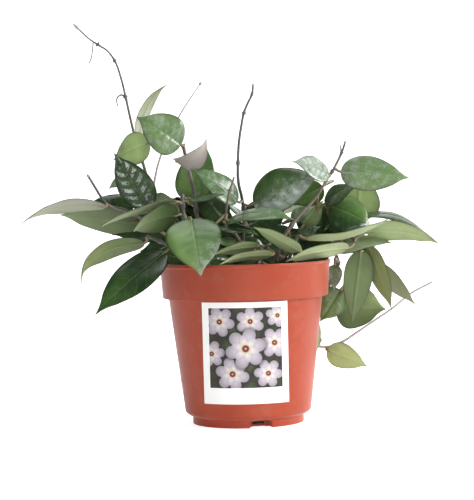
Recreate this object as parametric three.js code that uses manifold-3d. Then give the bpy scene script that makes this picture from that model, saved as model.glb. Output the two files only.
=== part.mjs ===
// A young hoya in its nursery pot: a thin moulded pot with drain notches, potting soil, rooted vines
// and thick pointed leaves, each leaf on its own stalk. Millimetres, +Z up. The origin is the middle of
// the pot's underside, and the front of the plant looks along -Y.
import * as THREE from 'three';
import { mergeVertices } from 'three/addons/utils/BufferGeometryUtils.js';
import Module from 'manifold-3d';

const wasm = await Module();
wasm.setup();

// Pot: a moulded 12 cm pot with an upright band below its rolled lip.
const RIM_RADIUS = 60;
const POT_HEIGHT = 113;
const LIP_HEIGHT = 3;
const BAND_RADIUS = 58;
const BAND_BOTTOM = 88.5;
const SHOULDER_RADIUS = 54;
const BODY_FOOT_RADIUS = 43.8;
const FOOT_RADIUS = 39;
const FOOT_HEIGHT = 5.5;
const FLARE_LOW = 6;
const FLARE_HIGH = 9;
const WALL = 1.2;
const FLOOR = 1.5;
const EDGE = 0.6;
const LIP_WIDTH = 2;
const STEP_HEIGHT = 4;
const POT_SIDES = 48;
const NOTCH_COUNT = 3;
const NOTCH_WIDTH = 15.5;
const NOTCH_DEPTH = 9;
const DRAIN_WIDTH = 9;
const DRAIN_HEIGHT = 3.6;
const FIRST_NOTCH_DEG = -77;

// Label: a plain card wrapped on the front wall, straight below the band.
const LABEL_LEFT = -30;
const LABEL_RIGHT = 28;
const LABEL_BOTTOM = 17.5;
const LABEL_TOP = 87.5;
const LABEL_THICKNESS = 0.5;
const LABEL_COLUMNS = 12;
const LABEL_ROWS = 4;

// Soil and plant.
const SOIL_TOP = 100;
const GAP = 0.3;
const SOCKET_GAP = 0.45;
const VINE_SIDES = 6;
const LEAF_SIDES = 8;
const BLADE_THICKNESS = 1.2;
const STALK_RADIUS = 1.1;
const BROADER_SIDE = 1.06;

const point = (values) => new THREE.Vector3(...values);

// ---- Solids ------------------------------------------------------------

function solidOf(geometry) {
  const bare = new THREE.BufferGeometry();
  bare.setAttribute('position', geometry.getAttribute('position'));
  bare.setIndex(geometry.getIndex());
  const merged = mergeVertices(bare, 1e-3);
  const vertProperties = Float32Array.from(merged.getAttribute('position').array);
  const triVerts = Uint32Array.from(merged.getIndex().array);
  return new wasm.Manifold(new wasm.Mesh({ numProp: 3, vertProperties, triVerts }));
}

function geometryOf(solid) {
  const mesh = solid.getMesh();
  const geometry = new THREE.BufferGeometry();
  geometry.setAttribute('position', new THREE.BufferAttribute(mesh.vertProperties, 3));
  geometry.setIndex(new THREE.BufferAttribute(mesh.triVerts, 1));
  geometry.computeVertexNormals();
  return geometry;
}

// A closed skin over rings of points: a sphere whose rings are moved, one by one, to where the piece
// needs them. Ring 0 and the last ring are its two end points.
function skin(rings, sides, pointAt) {
  const geometry = new THREE.SphereGeometry(1, sides, rings);
  const position = geometry.getAttribute('position');
  for (let ring = 0; ring <= rings; ring += 1) {
    for (let side = 0; side <= sides; side += 1) {
      const turn = (2 * Math.PI * (side % sides)) / sides;
      position.setXYZ(ring * (sides + 1) + side, ...pointAt(ring, turn));
    }
  }
  geometry.deleteAttribute('normal');
  geometry.deleteAttribute('uv');
  geometry.computeVertexNormals();
  return geometry;
}

// ---- Pot ---------------------------------------------------------------

function wallRadius(height) {
  const rise = (height - FOOT_HEIGHT) / (BAND_BOTTOM - FOOT_HEIGHT);
  return THREE.MathUtils.lerp(BODY_FOOT_RADIUS, SHOULDER_RADIUS, rise);
}

function revolve(outline) {
  const profile = outline.map(([radius, height]) => new THREE.Vector2(radius, height));
  return solidOf(new THREE.LatheGeometry(profile, POT_SIDES).rotateX(Math.PI / 2));
}

// A bar with rounded upper corners that lies along X, from `reach` inside the foot's edge outwards.
function bar(width, height, reach) {
  const half = width / 2;
  const corner = height / 3;
  const shape = new THREE.Shape();
  shape.moveTo(-half, -EDGE);
  shape.lineTo(half, -EDGE);
  shape.absarc(half - corner, height - corner, corner, 0, Math.PI / 2);
  shape.absarc(corner - half, height - corner, corner, Math.PI / 2, Math.PI);
  const depth = RIM_RADIUS - FOOT_RADIUS + reach;
  const geometry = new THREE.ExtrudeGeometry(shape, { depth, bevelEnabled: false, curveSegments: 3 });
  return geometry.rotateX(Math.PI / 2).rotateZ(Math.PI / 2).translate(FOOT_RADIUS - reach, 0, 0);
}

// One bar at each drain notch, joined.
function atNotches(width, height, reach) {
  let all = null;
  for (let i = 0; i < NOTCH_COUNT; i += 1) {
    const turn = THREE.MathUtils.degToRad(FIRST_NOTCH_DEG + (360 / NOTCH_COUNT) * i);
    const one = solidOf(bar(width, height, reach).rotateZ(turn));
    all = all ? all.add(one) : one;
  }
  return all;
}

const notchPockets = (grow) => atNotches(NOTCH_WIDTH + 2 * grow, FOOT_HEIGHT + grow, NOTCH_DEPTH + grow);

// The inside of the pot, from the middle of its floor to above the step behind the band.
function cavityOutline(clearance) {
  const inset = WALL + clearance;
  return [
    [0, FLOOR + clearance], [FOOT_RADIUS - inset, FLOOR + clearance], [FOOT_RADIUS - inset, FLARE_LOW + WALL],
    [wallRadius(FLARE_HIGH) - inset, FLARE_HIGH + WALL], [SHOULDER_RADIUS - inset, BAND_BOTTOM + clearance],
    [BAND_RADIUS - inset, BAND_BOTTOM + STEP_HEIGHT],
  ];
}

function potSolid() {
  const outside = revolve([
    [0, 0], [FOOT_RADIUS, 0], [FOOT_RADIUS, FOOT_HEIGHT], [FOOT_RADIUS + 2, FLARE_LOW],
    [BODY_FOOT_RADIUS - EDGE, (FLARE_LOW + FLARE_HIGH) / 2], [wallRadius(FLARE_HIGH), FLARE_HIGH],
    [SHOULDER_RADIUS, BAND_BOTTOM], [BAND_RADIUS - EDGE, BAND_BOTTOM], [BAND_RADIUS, BAND_BOTTOM + EDGE],
    [RIM_RADIUS - EDGE, POT_HEIGHT - LIP_HEIGHT], [RIM_RADIUS, POT_HEIGHT - LIP_HEIGHT + EDGE],
    [RIM_RADIUS, POT_HEIGHT - EDGE], [RIM_RADIUS - EDGE, POT_HEIGHT], [0, POT_HEIGHT],
  ]);
  const inside = revolve([
    ...cavityOutline(0), [RIM_RADIUS - LIP_WIDTH - EDGE, POT_HEIGHT - EDGE],
    [RIM_RADIUS - LIP_WIDTH, POT_HEIGHT + EDGE], [0, POT_HEIGHT + EDGE],
  ]);
  const drains = atNotches(DRAIN_WIDTH, DRAIN_HEIGHT, NOTCH_DEPTH + 2 * WALL);
  return outside.subtract(notchPockets(0)).subtract(inside.subtract(notchPockets(WALL))).subtract(drains);
}

// ---- Vines -------------------------------------------------------------

// Each vine: the points that its middle runs through, its radius at the root and at the tip, the
// points that are swollen leaf joints, and the side shoots that grow from it.
const VINES = {
  tall_left: {
    route: [
      [-24, 6, 92], [-27, 7, 108], [-38, 9, 122], [-50, 11, 138], [-60, 13, 156], [-67, 14, 172],
      [-71, 15, 186], [-75, 14, 200], [-78, 12, 214], [-81, 10, 230], [-84, 9, 244], [-88, 7, 256],
      [-93, 5, 263], [-99, 3, 267], [-106, 1, 273], [-111, -1, 279], [-114, -2, 283],
    ],
    radius: [1.5, 0.6],
    joints: [6, 9, 11, 13],
    shoots: [{ route: [[-81, 10, 230], [-84, 10, 232], [-87, 9, 230], [-87, 9, 224]], radius: [0.8, 0.5] }],
  },
  upright: {
    route: [
      [-20, -6, 92], [-23, -6, 108], [-28, -5, 122], [-31, -4, 136], [-33, -5, 150], [-34, -6, 160],
      [-36, -7, 170], [-38, -7, 181], [-40, -6, 190], [-41, -6, 195],
    ],
    radius: [1.5, 1.2],
    joints: [4, 7, 9],
    shoots: [],
  },
  tall_centre: {
    route: [
      [-2, 4, 92], [-2, 3, 108], [-1, 1, 124], [0, -2, 138], [0, -4, 150], [-1, -4, 158], [-3, -3, 168],
      [-3, -2, 182], [-2, 0, 196], [0, 2, 208], [2, 3, 217], [5, 4, 224], [8, 4, 230], [9, 4, 237],
    ],
    radius: [1.5, 0.7],
    joints: [4, 7, 10, 12],
    shoots: [
      {
        route: [[-1, 1, 124], [-7, -6, 134], [-12, -15, 145], [-11, -22, 155], [-9, -25, 163], [-6, -27, 172]],
        radius: [1.1, 0.8],
      },
    ],
  },
  right: {
    route: [
      [20, -6, 92], [21, -10, 106], [23, -17, 118], [27, -21, 129], [33, -21, 138], [41, -19, 147],
      [49, -17, 155], [56, -15, 165], [62, -14, 174], [66, -13, 181], [69, -12, 187], [72, -12, 195],
    ],
    radius: [1.7, 0.7],
    joints: [3, 4, 8, 10],
    shoots: [{ route: [[69, -12, 187], [68.5, -12, 190], [68, -12, 193]], radius: [0.8, 0.5] }],
  },
  left: {
    route: [
      [-26, -8, 92], [-30, -8, 108], [-42, -9, 122], [-56, -10, 134], [-70, -11, 144], [-84, -13, 150],
      [-93, -15, 154], [-98, -17, 160], [-102, -19, 167], [-107, -21, 176],
    ],
    radius: [1.5, 0.8],
    joints: [4, 6],
    shoots: [],
  },
  knotty: {
    route: [
      [-20, -18, 92], [-24, -19, 108], [-31, -22, 122], [-37, -24, 136], [-41, -24, 145], [-42, -23, 153],
      [-42, -21, 161],
    ],
    radius: [2.1, 1.4],
    joints: [3, 4, 5],
    shoots: [],
  },
  low_left: {
    route: [[-28, -26, 92], [-32, -29, 106], [-40, -31, 118], [-49, -31, 125], [-58, -29, 129], [-67, -25, 133]],
    radius: [1.5, 1],
    joints: [4],
    shoots: [],
  },
  front: {
    route: [[4, -22, 92], [6, -26, 106], [10, -33, 117], [15, -38, 124]],
    radius: [1.5, 1.1],
    joints: [3],
    shoots: [],
  },
  front_right: {
    route: [[24, -24, 92], [27, -27, 106], [31, -33, 117], [34, -36, 125], [37, -35, 131]],
    radius: [1.5, 1.1],
    joints: [3],
    shoots: [],
  },
  back_right: {
    route: [
      [30, 4, 92], [34, 5, 108], [44, 8, 122], [56, 10, 132], [68, 12, 137], [78, 13, 134], [86, 14, 126],
      [84, 18, 112], [78, 22, 100], [72, 26, 93],
    ],
    radius: [1.5, 1],
    joints: [4, 6, 9],
    shoots: [{ route: [[68, 12, 137], [72, 5, 131], [76, -2, 127], [77, -8, 124]], radius: [1.2, 1] }],
  },
  trailing: {
    route: [
      [30, 16, 92], [34, 18, 108], [44, 22, 118], [56, 26, 121], [64, 26, 117], [67, 26, 109], [63, 29, 99],
      [58, 33, 88], [52, 38, 76], [48, 41, 64], [47, 42, 55], [51, 40, 49], [60, 37, 48], [70, 34, 52],
      [81, 32, 59], [93, 30, 67], [105, 28, 75], [119, 26, 86], [134, 22, 94],
    ],
    radius: [1.4, 0.5],
    joints: [5, 11],
    shoots: [],
  },
  back_left: {
    route: [
      [-26, 22, 92], [-30, 24, 108], [-42, 27, 122], [-54, 30, 138], [-62, 33, 152], [-64, 35, 164],
      [-62, 37, 177], [-58, 38, 190], [-51, 39, 204], [-44, 40, 218], [-36, 40, 230], [-28, 40, 241],
    ],
    radius: [1.4, 0.5],
    joints: [4],
    shoots: [],
  },
  back: {
    route: [
      [4, 26, 92], [5, 28, 108], [2, 34, 122], [-4, 42, 131], [-10, 52, 134], [-14, 61, 128], [-15, 67, 116],
      [-15, 69, 104],
    ],
    radius: [1.5, 1],
    joints: [4, 6],
    shoots: [{ route: [[2, 34, 122], [10, 39, 132], [20, 43, 139]], radius: [1.2, 1] }],
  },
};

const JOINT_SWELL = 1.45;
const END_BULGE = 0.6;

// A stem tapers from its root to its tip and swells at its leaf joints. Step 2 k is route point k.
function stemRadius([rootRadius, tipRadius], joints, last, step) {
  const plain = THREE.MathUtils.lerp(rootRadius, tipRadius, step / last);
  const nearest = Math.min(1, ...joints.map((joint) => Math.abs(2 * joint - step)));
  return plain * THREE.MathUtils.lerp(JOINT_SWELL, 1, nearest);
}

// A tube along a route, with a ring at each of its points and one between each two, and rounded ends.
function tube(route, radius, joints, extra) {
  const path = new THREE.CatmullRomCurve3(route.map(point));
  const last = 2 * (route.length - 1);
  const across = new THREE.Vector3(0, 1, 0);
  const rings = [];
  for (let i = 0; i <= last; i += 1) {
    const along = path.getTangent(i / last);
    across.addScaledVector(along, -across.dot(along)).normalize();
    rings.push({
      centre: path.getPoint(i / last),
      across: across.clone(),
      beside: along.clone().cross(across),
      radius: stemRadius(radius, joints, last, i) + extra,
      along,
    });
  }
  const end = (ring, way) => ring.centre.clone().addScaledVector(ring.along, way * ring.radius * END_BULGE);
  return solidOf(
    skin(last + 2, VINE_SIDES, (ring, turn) => {
      if (ring === 0) return end(rings[0], -1);
      if (ring === last + 2) return end(rings[last], 1);
      const { centre, across: a, beside: b, radius: size } = rings[ring - 1];
      const there = centre.clone().addScaledVector(a, size * Math.cos(turn));
      return there.addScaledVector(b, -size * Math.sin(turn));
    }),
  );
}

function vineSolid({ route, radius, joints, shoots }) {
  let solid = tube(route, radius, joints, 0);
  shoots.forEach((shoot) => {
    solid = solid.add(tube(shoot.route, shoot.radius, [], 0));
  });
  return solid;
}

// ---- Soil --------------------------------------------------------------

function soilSolid() {
  let soil = revolve([
    ...cavityOutline(GAP), [BAND_RADIUS - WALL - GAP, SOIL_TOP - 3], [52, SOIL_TOP - 1],
    [30, SOIL_TOP], [0, SOIL_TOP + EDGE],
  ]);
  soil = soil.subtract(notchPockets(WALL + GAP));
  Object.values(VINES).forEach(({ route, radius }) => {
    soil = soil.subtract(tube(route, radius, [], SOCKET_GAP));
  });
  return soil;
}

// ---- Label -------------------------------------------------------------

function labelGeometry() {
  const width = LABEL_RIGHT - LABEL_LEFT;
  const height = LABEL_TOP - LABEL_BOTTOM;
  const geometry = new THREE.BoxGeometry(width, LABEL_THICKNESS, height, LABEL_COLUMNS, 1, LABEL_ROWS);
  geometry.translate((LABEL_LEFT + LABEL_RIGHT) / 2, 0, (LABEL_BOTTOM + LABEL_TOP) / 2);
  const position = geometry.getAttribute('position');
  for (let i = 0; i < position.count; i += 1) {
    const outward = GAP + LABEL_THICKNESS / 2 - position.getY(i);
    const radius = wallRadius(position.getZ(i)) + outward;
    position.setY(i, -Math.sqrt(radius ** 2 - position.getX(i) ** 2));
  }
  geometry.computeVertexNormals();
  return geometry;
}

// ---- Leaves ------------------------------------------------------------

// The leaves of each vine, in the order they grow. A row is where the blade starts, where its tip
// ends, its width, the way its upper face looks, how high its middle arches, how far its halves fold
// up, in degrees, and how far its tip hooks down.
const LEAVES = {
  tall_left: [
    [[-65, 5, 198], [-89, -6, 187], 23, [2, 8, 4], 2, 0, 0],
    [[-72, 23, 196], [-54, 26, 239], 14, [-8, 6, 2], 8, 0, 0],
  ],
  upright: [
    [[-39, 4, 156], [-26, 10, 196], 27, [-2, -9, 2], 0, 5, 2],
    [[-42, -20, 195], [-70, -27, 214], 28, [-3, -8, 4], 2, 4, 0],
    [[-46, -10, 184], [-24, -20, 197], 18, [-2, 7, 6], -5, 0, 0],
  ],
  tall_centre: [
    [[-4, -11, 155], [-34, -19, 178], 20, [4, -9, 5], 2, 5, 0],
    [[7, -12, 153], [52, -24, 172], 34, [-2, -8, 5], 3, 6, 0],
    [[-11, -23, 142], [33, -42, 143], 24, [0, -4, 9], 5, 0, 0],
  ],
  right: [
    [[60, -19, 172], [36, -31, 182], 21, [2, -7, 6], 1, 0, 0],
    [[68, -15, 174], [114, -17, 169], 25, [0, -9, 3], 2, 4, 0],
  ],
  left: [
    [[-95, -20, 154], [-150, -28, 147], 22, [0, 4, 9], 5, 0, 5],
    [[-74, -3, 142], [-127, 4, 149], 24, [0, 8, 6], 0, 0, 0],
    [[-66, -6, 152], [-88, -14, 189], 25, [-3, -9, 1], 0, 6, 0],
  ],
  knotty: [
    [[-46, -29, 156], [-96, -50, 142], 18, [1, 4, 9], 2, 0, 0],
    [[-45, -27, 147], [-75, -44, 138], 27, [0, 7, 7], 3, 0, 0],
    [[-36, -38, 144], [-30, -62, 108], 37, [0, -9, 4], 3, 6, 0],
    [[-37, -22, 158], [-15, -33, 161], 14, [0, -4, 9], -1, 0, 0],
    [[-46, -6, 154], [-63, 10, 157], 22, [0, 7, 6], 0, 0, 0],
  ],
  low_left: [
    [[-69, -20, 128], [-117, -28, 107], 20, [0, 6, 8], 8, 0, 6],
    [[-54, -38, 122], [-101, -54, 83], 28, [-3, -8, 5], 2, 4, 0],
  ],
  front: [
    [[19, -46, 119], [-16, -58, 115], 15, [0, 5, 8], 2, 0, 0],
    [[9, -42, 125], [-21, -54, 121], 16, [0, 5, 8], 1, 0, 0],
  ],
  front_right: [
    [[42, -38, 129], [98, -26, 141], 22, [0, 2, 9], -6, 18, 0],
    [[38, -43, 121], [8, -48, 138], 17, [4, 6, 7], 0, 0, 0],
  ],
  back_right: [
    [[61, -2, 150], [88, -6, 136], 30, [-2, -8, 7], 2, 0, 0],
    [[76, 8, 141], [131, 4, 126], 20, [0, -2, 9], 9, 0, 0],
    [[81, 19, 139], [84, 25, 173], 31, [0, 8, -3], 0, 0, 0],
    [[86, -4, 131], [134, -12, 124], 23, [0, 6, 8], 5, 0, 0],
    [[72, -14, 121], [28, -46, 115], 18, [1, 7, 7], 2, 0, 0],
    [[82, 4, 118], [75, 8, 69], 20, [0, 9, 0], 0, 0, 0],
    [[88, 8, 121], [103, 6, 78], 17, [6, 7, 2], 0, 0, 0],
    [[90, 19, 109], [120, 17, 80], 16, [5, 8, 4], 0, 0, 0],
    [[65, 37, 79], [99, 34, 75], 38, [2, 9, 4], 0, 0, 0],
    [[68, 21, 90], [54, 22, 69], 22, [0, -9, 2], 0, 0, 0],
  ],
  trailing: [
    [[54, 42, 53], [36, 55, 56], 18, [6, 7, 3], 0, 0, 0],
    [[58, 32, 46], [85, 28, 35], 19, [1, 9, 3], 0, 0, 0],
  ],
  back_left: [
    [[-68, 36, 148], [-94, 56, 138], 24, [-2, 2, 9], 3, 0, 0],
    [[-50, 33, 124], [-62, 68, 106], 26, [-2, 5, 8], 3, 0, 0],
    [[-48, 34, 142], [-20, 60, 150], 24, [1, 3, 9], 2, 0, 0],
  ],
  back: [
    [[-15, 52, 140], [-42, 70, 126], 24, [-2, 4, 8], 2, 0, 0],
    [[-2, 54, 136], [26, 72, 128], 24, [1, 4, 9], 2, 0, 0],
    [[24, 46, 144], [50, 60, 150], 24, [0, 3, 9], 2, 0, 0],
    [[-20, 70, 112], [-30, 76, 74], 21, [-2, 9, 0], 1, 0, 0],
    [[-10, 72, 100], [14, 75, 70], 20, [1, 9, 2], 1, 0, 0],
  ],
};

const STALK_STATIONS = [0.06, 0.5];
const STALK_LEAD = 0.4;
const BLADE_STATIONS = [0, 0.06, 0.2, 0.4, 0.6, 0.8, 0.94];
const HOOK_START = 0.75;
const TANGENT_STEP = 0.02;

// The outline of an ovate blade: full and round at its base, straight towards a drawn-out tip.
const BASE_FULLNESS = 0.55;
const WIDEST = BASE_FULLNESS / (1 + BASE_FULLNESS);
const spread = (s) => s ** BASE_FULLNESS * (1 - s);
const bladeOutline = (s) => spread(s) / spread(WIDEST);

// The stalk starts at the point of the vine's bark that is nearest to the blade, above the root.
const ROOT_STEPS = 2;
const SEARCH_STEP = 0.1;

function barkPoint({ route, radius, joints, shoots }, target) {
  let best = { distance: Infinity };
  [{ route, radius, joints }, ...shoots.map((shoot) => ({ ...shoot, joints: [] }))].forEach((stem) => {
    const path = new THREE.CatmullRomCurve3(stem.route.map(point));
    const last = 2 * (stem.route.length - 1);
    for (let step = ROOT_STEPS; step <= last; step += SEARCH_STEP) {
      const centre = path.getPoint(step / last);
      const distance = centre.distanceTo(target);
      if (distance < best.distance) {
        best = { centre, distance, radius: stemRadius(stem.radius, stem.joints, last, step) };
      }
    }
  });
  const outward = target.clone().sub(best.centre).normalize();
  return best.centre.addScaledVector(outward, best.radius + GAP);
}

function leafGeometry(vine, [baseAt, tipAt, width, faceAt, arch, fold, hook]) {
  const base = point(baseAt);
  const chord = point(tipAt).sub(base);
  const forward = chord.clone().normalize();
  const upper = point(faceAt);
  upper.addScaledVector(forward, -upper.dot(forward)).normalize();
  const midrib = (s) => {
    const drop = hook * (Math.max(0, s - HOOK_START) / (1 - HOOK_START)) ** 2;
    const lift = 4 * arch * s * (1 - s) - drop;
    return base.clone().addScaledVector(chord, s).addScaledVector(upper, lift);
  };
  const bark = barkPoint(vine, base);
  const start = midrib(TANGENT_STEP).sub(base).normalize();
  const elbow = base.clone().addScaledVector(start, -STALK_LEAD * bark.distanceTo(base));
  const stalk = new THREE.QuadraticBezierCurve3(bark, elbow, base);
  const sections = STALK_STATIONS.map((t) => ({
    centre: stalk.getPoint(t),
    along: stalk.getTangent(t),
    half: STALK_RADIUS,
    thick: STALK_RADIUS,
    rise: 0,
  }));
  BLADE_STATIONS.forEach((s) => {
    const half = Math.max(STALK_RADIUS, (width / 2) * bladeOutline(s));
    sections.push({
      centre: midrib(s),
      along: midrib(s + TANGENT_STEP).sub(midrib(s - TANGENT_STEP)).normalize(),
      half,
      thick: s === 0 ? STALK_RADIUS : BLADE_THICKNESS / 2,
      rise: s === 0 ? 0 : half * Math.tan(THREE.MathUtils.degToRad(fold)),
    });
  });
  const rings = sections.length + 1;
  return skin(rings, LEAF_SIDES, (ring, turn) => {
    if (ring === 0) return bark;
    if (ring === rings) return midrib(1);
    const { centre, along, half, thick, rise } = sections[ring - 1];
    const right = along.clone().cross(upper).normalize();
    const up = right.clone().cross(along);
    const across = Math.cos(turn);
    const reach = across * half * (across > 0 ? BROADER_SIDE : 1);
    const there = centre.clone().addScaledVector(right, reach);
    return there.addScaledVector(up, thick * Math.sin(turn) + rise * Math.abs(across));
  });
}

// ---- The plant ---------------------------------------------------------

const plant = new THREE.Group();

function add(name, geometry, color, roughness) {
  const material = new THREE.MeshStandardMaterial({ color, roughness, metalness: 0 });
  const mesh = new THREE.Mesh(geometry, material);
  mesh.name = name;
  plant.add(mesh);
}

add('pot', geometryOf(potSolid()), 0xc75a41, 0.45);
add('soil', geometryOf(soilSolid()), 0x2b2119, 0.95);
add('label', labelGeometry(), 0xf4f2ee, 0.6);
Object.entries(VINES).forEach(([vineName, vine]) => {
  add(`${vineName}_vine`, geometryOf(vineSolid(vine)), 0x6e5f58, 0.7);
  LEAVES[vineName].forEach((row, i) => {
    add(`${vineName}_leaf_${i + 1}`, leafGeometry(vine, row), 0x4d7a3c, 0.4);
  });
});

export default plant;
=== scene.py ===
import math
import random

import bmesh
import bpy
import numpy as np
from mathutils import Matrix, Quaternion, Vector


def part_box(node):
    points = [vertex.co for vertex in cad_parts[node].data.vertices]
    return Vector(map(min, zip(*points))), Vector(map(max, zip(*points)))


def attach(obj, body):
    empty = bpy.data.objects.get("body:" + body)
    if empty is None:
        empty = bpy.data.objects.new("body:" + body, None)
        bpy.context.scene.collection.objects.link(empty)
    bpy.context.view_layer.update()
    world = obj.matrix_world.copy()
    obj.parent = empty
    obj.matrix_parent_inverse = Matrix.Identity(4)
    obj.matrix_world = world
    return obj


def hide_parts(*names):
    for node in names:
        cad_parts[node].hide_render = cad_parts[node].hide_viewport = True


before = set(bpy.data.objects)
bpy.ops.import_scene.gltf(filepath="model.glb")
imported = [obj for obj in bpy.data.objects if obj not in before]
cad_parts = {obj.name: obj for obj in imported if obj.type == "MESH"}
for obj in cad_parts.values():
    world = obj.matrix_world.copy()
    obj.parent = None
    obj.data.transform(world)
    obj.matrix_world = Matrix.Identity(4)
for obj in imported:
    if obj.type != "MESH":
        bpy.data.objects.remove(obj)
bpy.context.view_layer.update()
MM = 0.001


# ---- Pot ----------------------------------------------------------------------------------------
# A thin-walled grower's pot of brick-coloured polypropylene, moulded in one shot: a rolled lip, an
# upright band that the next pot stacks on, a tapered wall, and a foot with three drain notches.

RIM_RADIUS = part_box("pot")[1].x
POT_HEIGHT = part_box("pot")[1].z
LIP_HEIGHT = 3 * MM
LIP_STEP = 0.6 * MM
BAND_RADIUS = RIM_RADIUS - 2 * MM
BAND_BOTTOM = 88.5 * MM
SHOULDER_RADIUS = RIM_RADIUS - 6 * MM
BODY_FOOT_RADIUS = 43.8 * MM
FOOT_RADIUS = 39 * MM
FOOT_HEIGHT = 5.5 * MM
WALL = 1.2 * MM
FLOOR = 1.5 * MM
EDGE_ROUNDING = 0.45 * MM
MOULDED_EDGE = 0.25 * MM
GATE_RADIUS = 4 * MM
GATE_DEPTH = 0.35 * MM
FOOT_RISE = 3.5 * MM
POCKET_WIDTH = 15.5 * MM
POCKET_DEPTH = 9 * MM
SLOT_WIDTH = 9 * MM
SLOT_HEIGHT = 3.6 * MM
SLOT_DEPTH = 11.4 * MM
POT_STEPS = 160
CRISP_TURN = 40
SOFT_TURN = 60
NO_CREASES = 180
MOULDED_TURN = 50
FIRST_NOTCH = math.radians(-77)
NOTCH_COUNT = 3
TERRACOTTA = (0.405, 0.045, 0.013, 1)
TERRACOTTA_PALE = (0.435, 0.072, 0.029, 1)
DUST_COLOR = (0.42, 0.30, 0.24, 1)
BLOOM_COLOR = (0.95, 0.88, 0.90, 1)


def wall_radius(height):
    """The outer radius of the tapered wall at a height."""
    rise = (height - FOOT_HEIGHT) / (BAND_BOTTOM - FOOT_HEIGHT)
    return BODY_FOOT_RADIUS + (SHOULDER_RADIUS - BODY_FOOT_RADIUS) * rise


def finished(name, bm, materials, sharp_degrees=CRISP_TURN):
    """Makes a smooth-shaded object of the mesh, with crisp edges only where faces turn sharply."""
    mesh = bpy.data.meshes.new(name)
    bm.to_mesh(mesh)
    bm.free()
    for polygon in mesh.polygons:
        polygon.use_smooth = True
    mesh.set_sharp_from_angle(angle=math.radians(sharp_degrees))
    for material in materials:
        mesh.materials.append(material)
    piece = bpy.data.objects.new(name, mesh)
    bpy.context.scene.collection.objects.link(piece)
    return piece


def spun(outline, rounding):
    """A closed body turned about the upright axis from (radius, height) points, its corners rounded."""
    bm = bmesh.new()
    corners = [bm.verts.new((radius, 0, height)) for radius, height in outline]
    for start, end in zip(corners, corners[1:]):
        bm.edges.new((start, end))
    bmesh.ops.bevel(
        bm, geom=corners[1:-1], offset=rounding, segments=3, profile=0.5, affect="VERTICES",
        clamp_overlap=True, material=-1,
    )
    bmesh.ops.spin(
        bm, geom=bm.verts[:] + bm.edges[:], cent=(0, 0, 0), axis=(0, 0, 1), dvec=(0, 0, 0),
        angle=2 * math.pi, steps=POT_STEPS, use_merge=True, use_duplicate=False,
    )
    bmesh.ops.remove_doubles(bm, verts=bm.verts, dist=0.001 * MM)
    bmesh.ops.recalc_face_normals(bm, faces=bm.faces)
    return bm


def cut(piece, tool):
    """Takes the tool's solid out of the piece."""
    modifier = piece.modifiers.new("cut", "BOOLEAN")
    modifier.object = tool
    depsgraph = bpy.context.evaluated_depsgraph_get()
    mesh = bpy.data.meshes.new_from_object(piece.evaluated_get(depsgraph))
    piece.modifiers.clear()
    piece.data = mesh
    bpy.data.objects.remove(tool)


def notch_tool(name, width, height, reach):
    """Bars with rounded upper corners, one at each drain notch, that run in from outside the foot."""
    bm = bmesh.new()
    for notch in range(NOTCH_COUNT):
        bar = bmesh.ops.create_cube(bm, size=1)["verts"]
        length = RIM_RADIUS - FOOT_RADIUS + reach
        bmesh.ops.scale(bm, vec=(length, width, height + FLOOR), verts=bar)
        middle = (FOOT_RADIUS - reach + length / 2, 0, (height - FLOOR) / 2)
        bmesh.ops.translate(bm, vec=middle, verts=bar)
        own = [edge for edge in bm.edges if edge.verts[0] in bar]
        upper = [edge for edge in own if min(vertex.co.z for vertex in edge.verts) > height * 0.9]
        long_edges = [edge for edge in upper if abs(edge.verts[0].co.x - edge.verts[1].co.x) > length / 2]
        rounded = bmesh.ops.bevel(
            bm, geom=long_edges, offset=height / 3, segments=4, profile=0.5, affect="EDGES", material=-1,
        )
        whole = {vertex for vertex in bar if vertex.is_valid} | set(rounded["verts"])
        turn = FIRST_NOTCH + 2 * math.pi / NOTCH_COUNT * notch
        bmesh.ops.rotate(bm, verts=list(whole), cent=(0, 0, 0), matrix=Matrix.Rotation(turn, 3, "Z"))
    return finished(name, bm, [])


def add_node(tree, kind, inputs=None, **settings):
    """Adds a shader node. Each input is a plain value, or another node's output to link."""
    made = tree.nodes.new(kind)
    for key, value in settings.items():
        setattr(made, key, value)
    for socket, value in (inputs or {}).items():
        if isinstance(value, bpy.types.NodeSocket):
            tree.links.new(value, made.inputs[socket])
        else:
            made.inputs[socket].default_value = value
    return made


def maths(tree, operation, *values, clamp=False):
    """A sum on values, or on other nodes' outputs."""
    made = add_node(tree, "ShaderNodeMath", dict(enumerate(values)), operation=operation, use_clamp=clamp)
    return made.outputs[0]


def ramp(tree, value, *stops):
    """A colour ramp with (place, colour) stops."""
    made = add_node(tree, "ShaderNodeValToRGB", {0: value})
    elements = made.color_ramp.elements
    while len(elements) < len(stops):
        elements.new(0.5)
    for element, (place, color) in zip(elements, stops):
        element.position = place
        element.color = color
    return made.outputs[0]


def mix_colors(tree, amount, first, second):
    """The first colour where the amount is 0, and the second where it is 1."""
    inputs = {0: amount, 6: first, 7: second}
    return add_node(tree, "ShaderNodeMix", inputs, data_type="RGBA").outputs[2]


def object_place(tree):
    """Where a point lies on the object, for patterns that run through a whole piece."""
    return add_node(tree, "ShaderNodeTexCoord").outputs["Object"]


def noise(tree, place, scale, detail, roughness=0.5):
    """A cloudy pattern, mostly between 0.3 and 0.7."""
    inputs = {"Vector": place, "Scale": scale, "Detail": detail, "Roughness": roughness}
    return add_node(tree, "ShaderNodeTexNoise", inputs).outputs[0]


def attribute(tree, name):
    """A value that the mesh carries at its points."""
    return add_node(tree, "ShaderNodeAttribute", attribute_name=name).outputs["Fac"]


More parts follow.
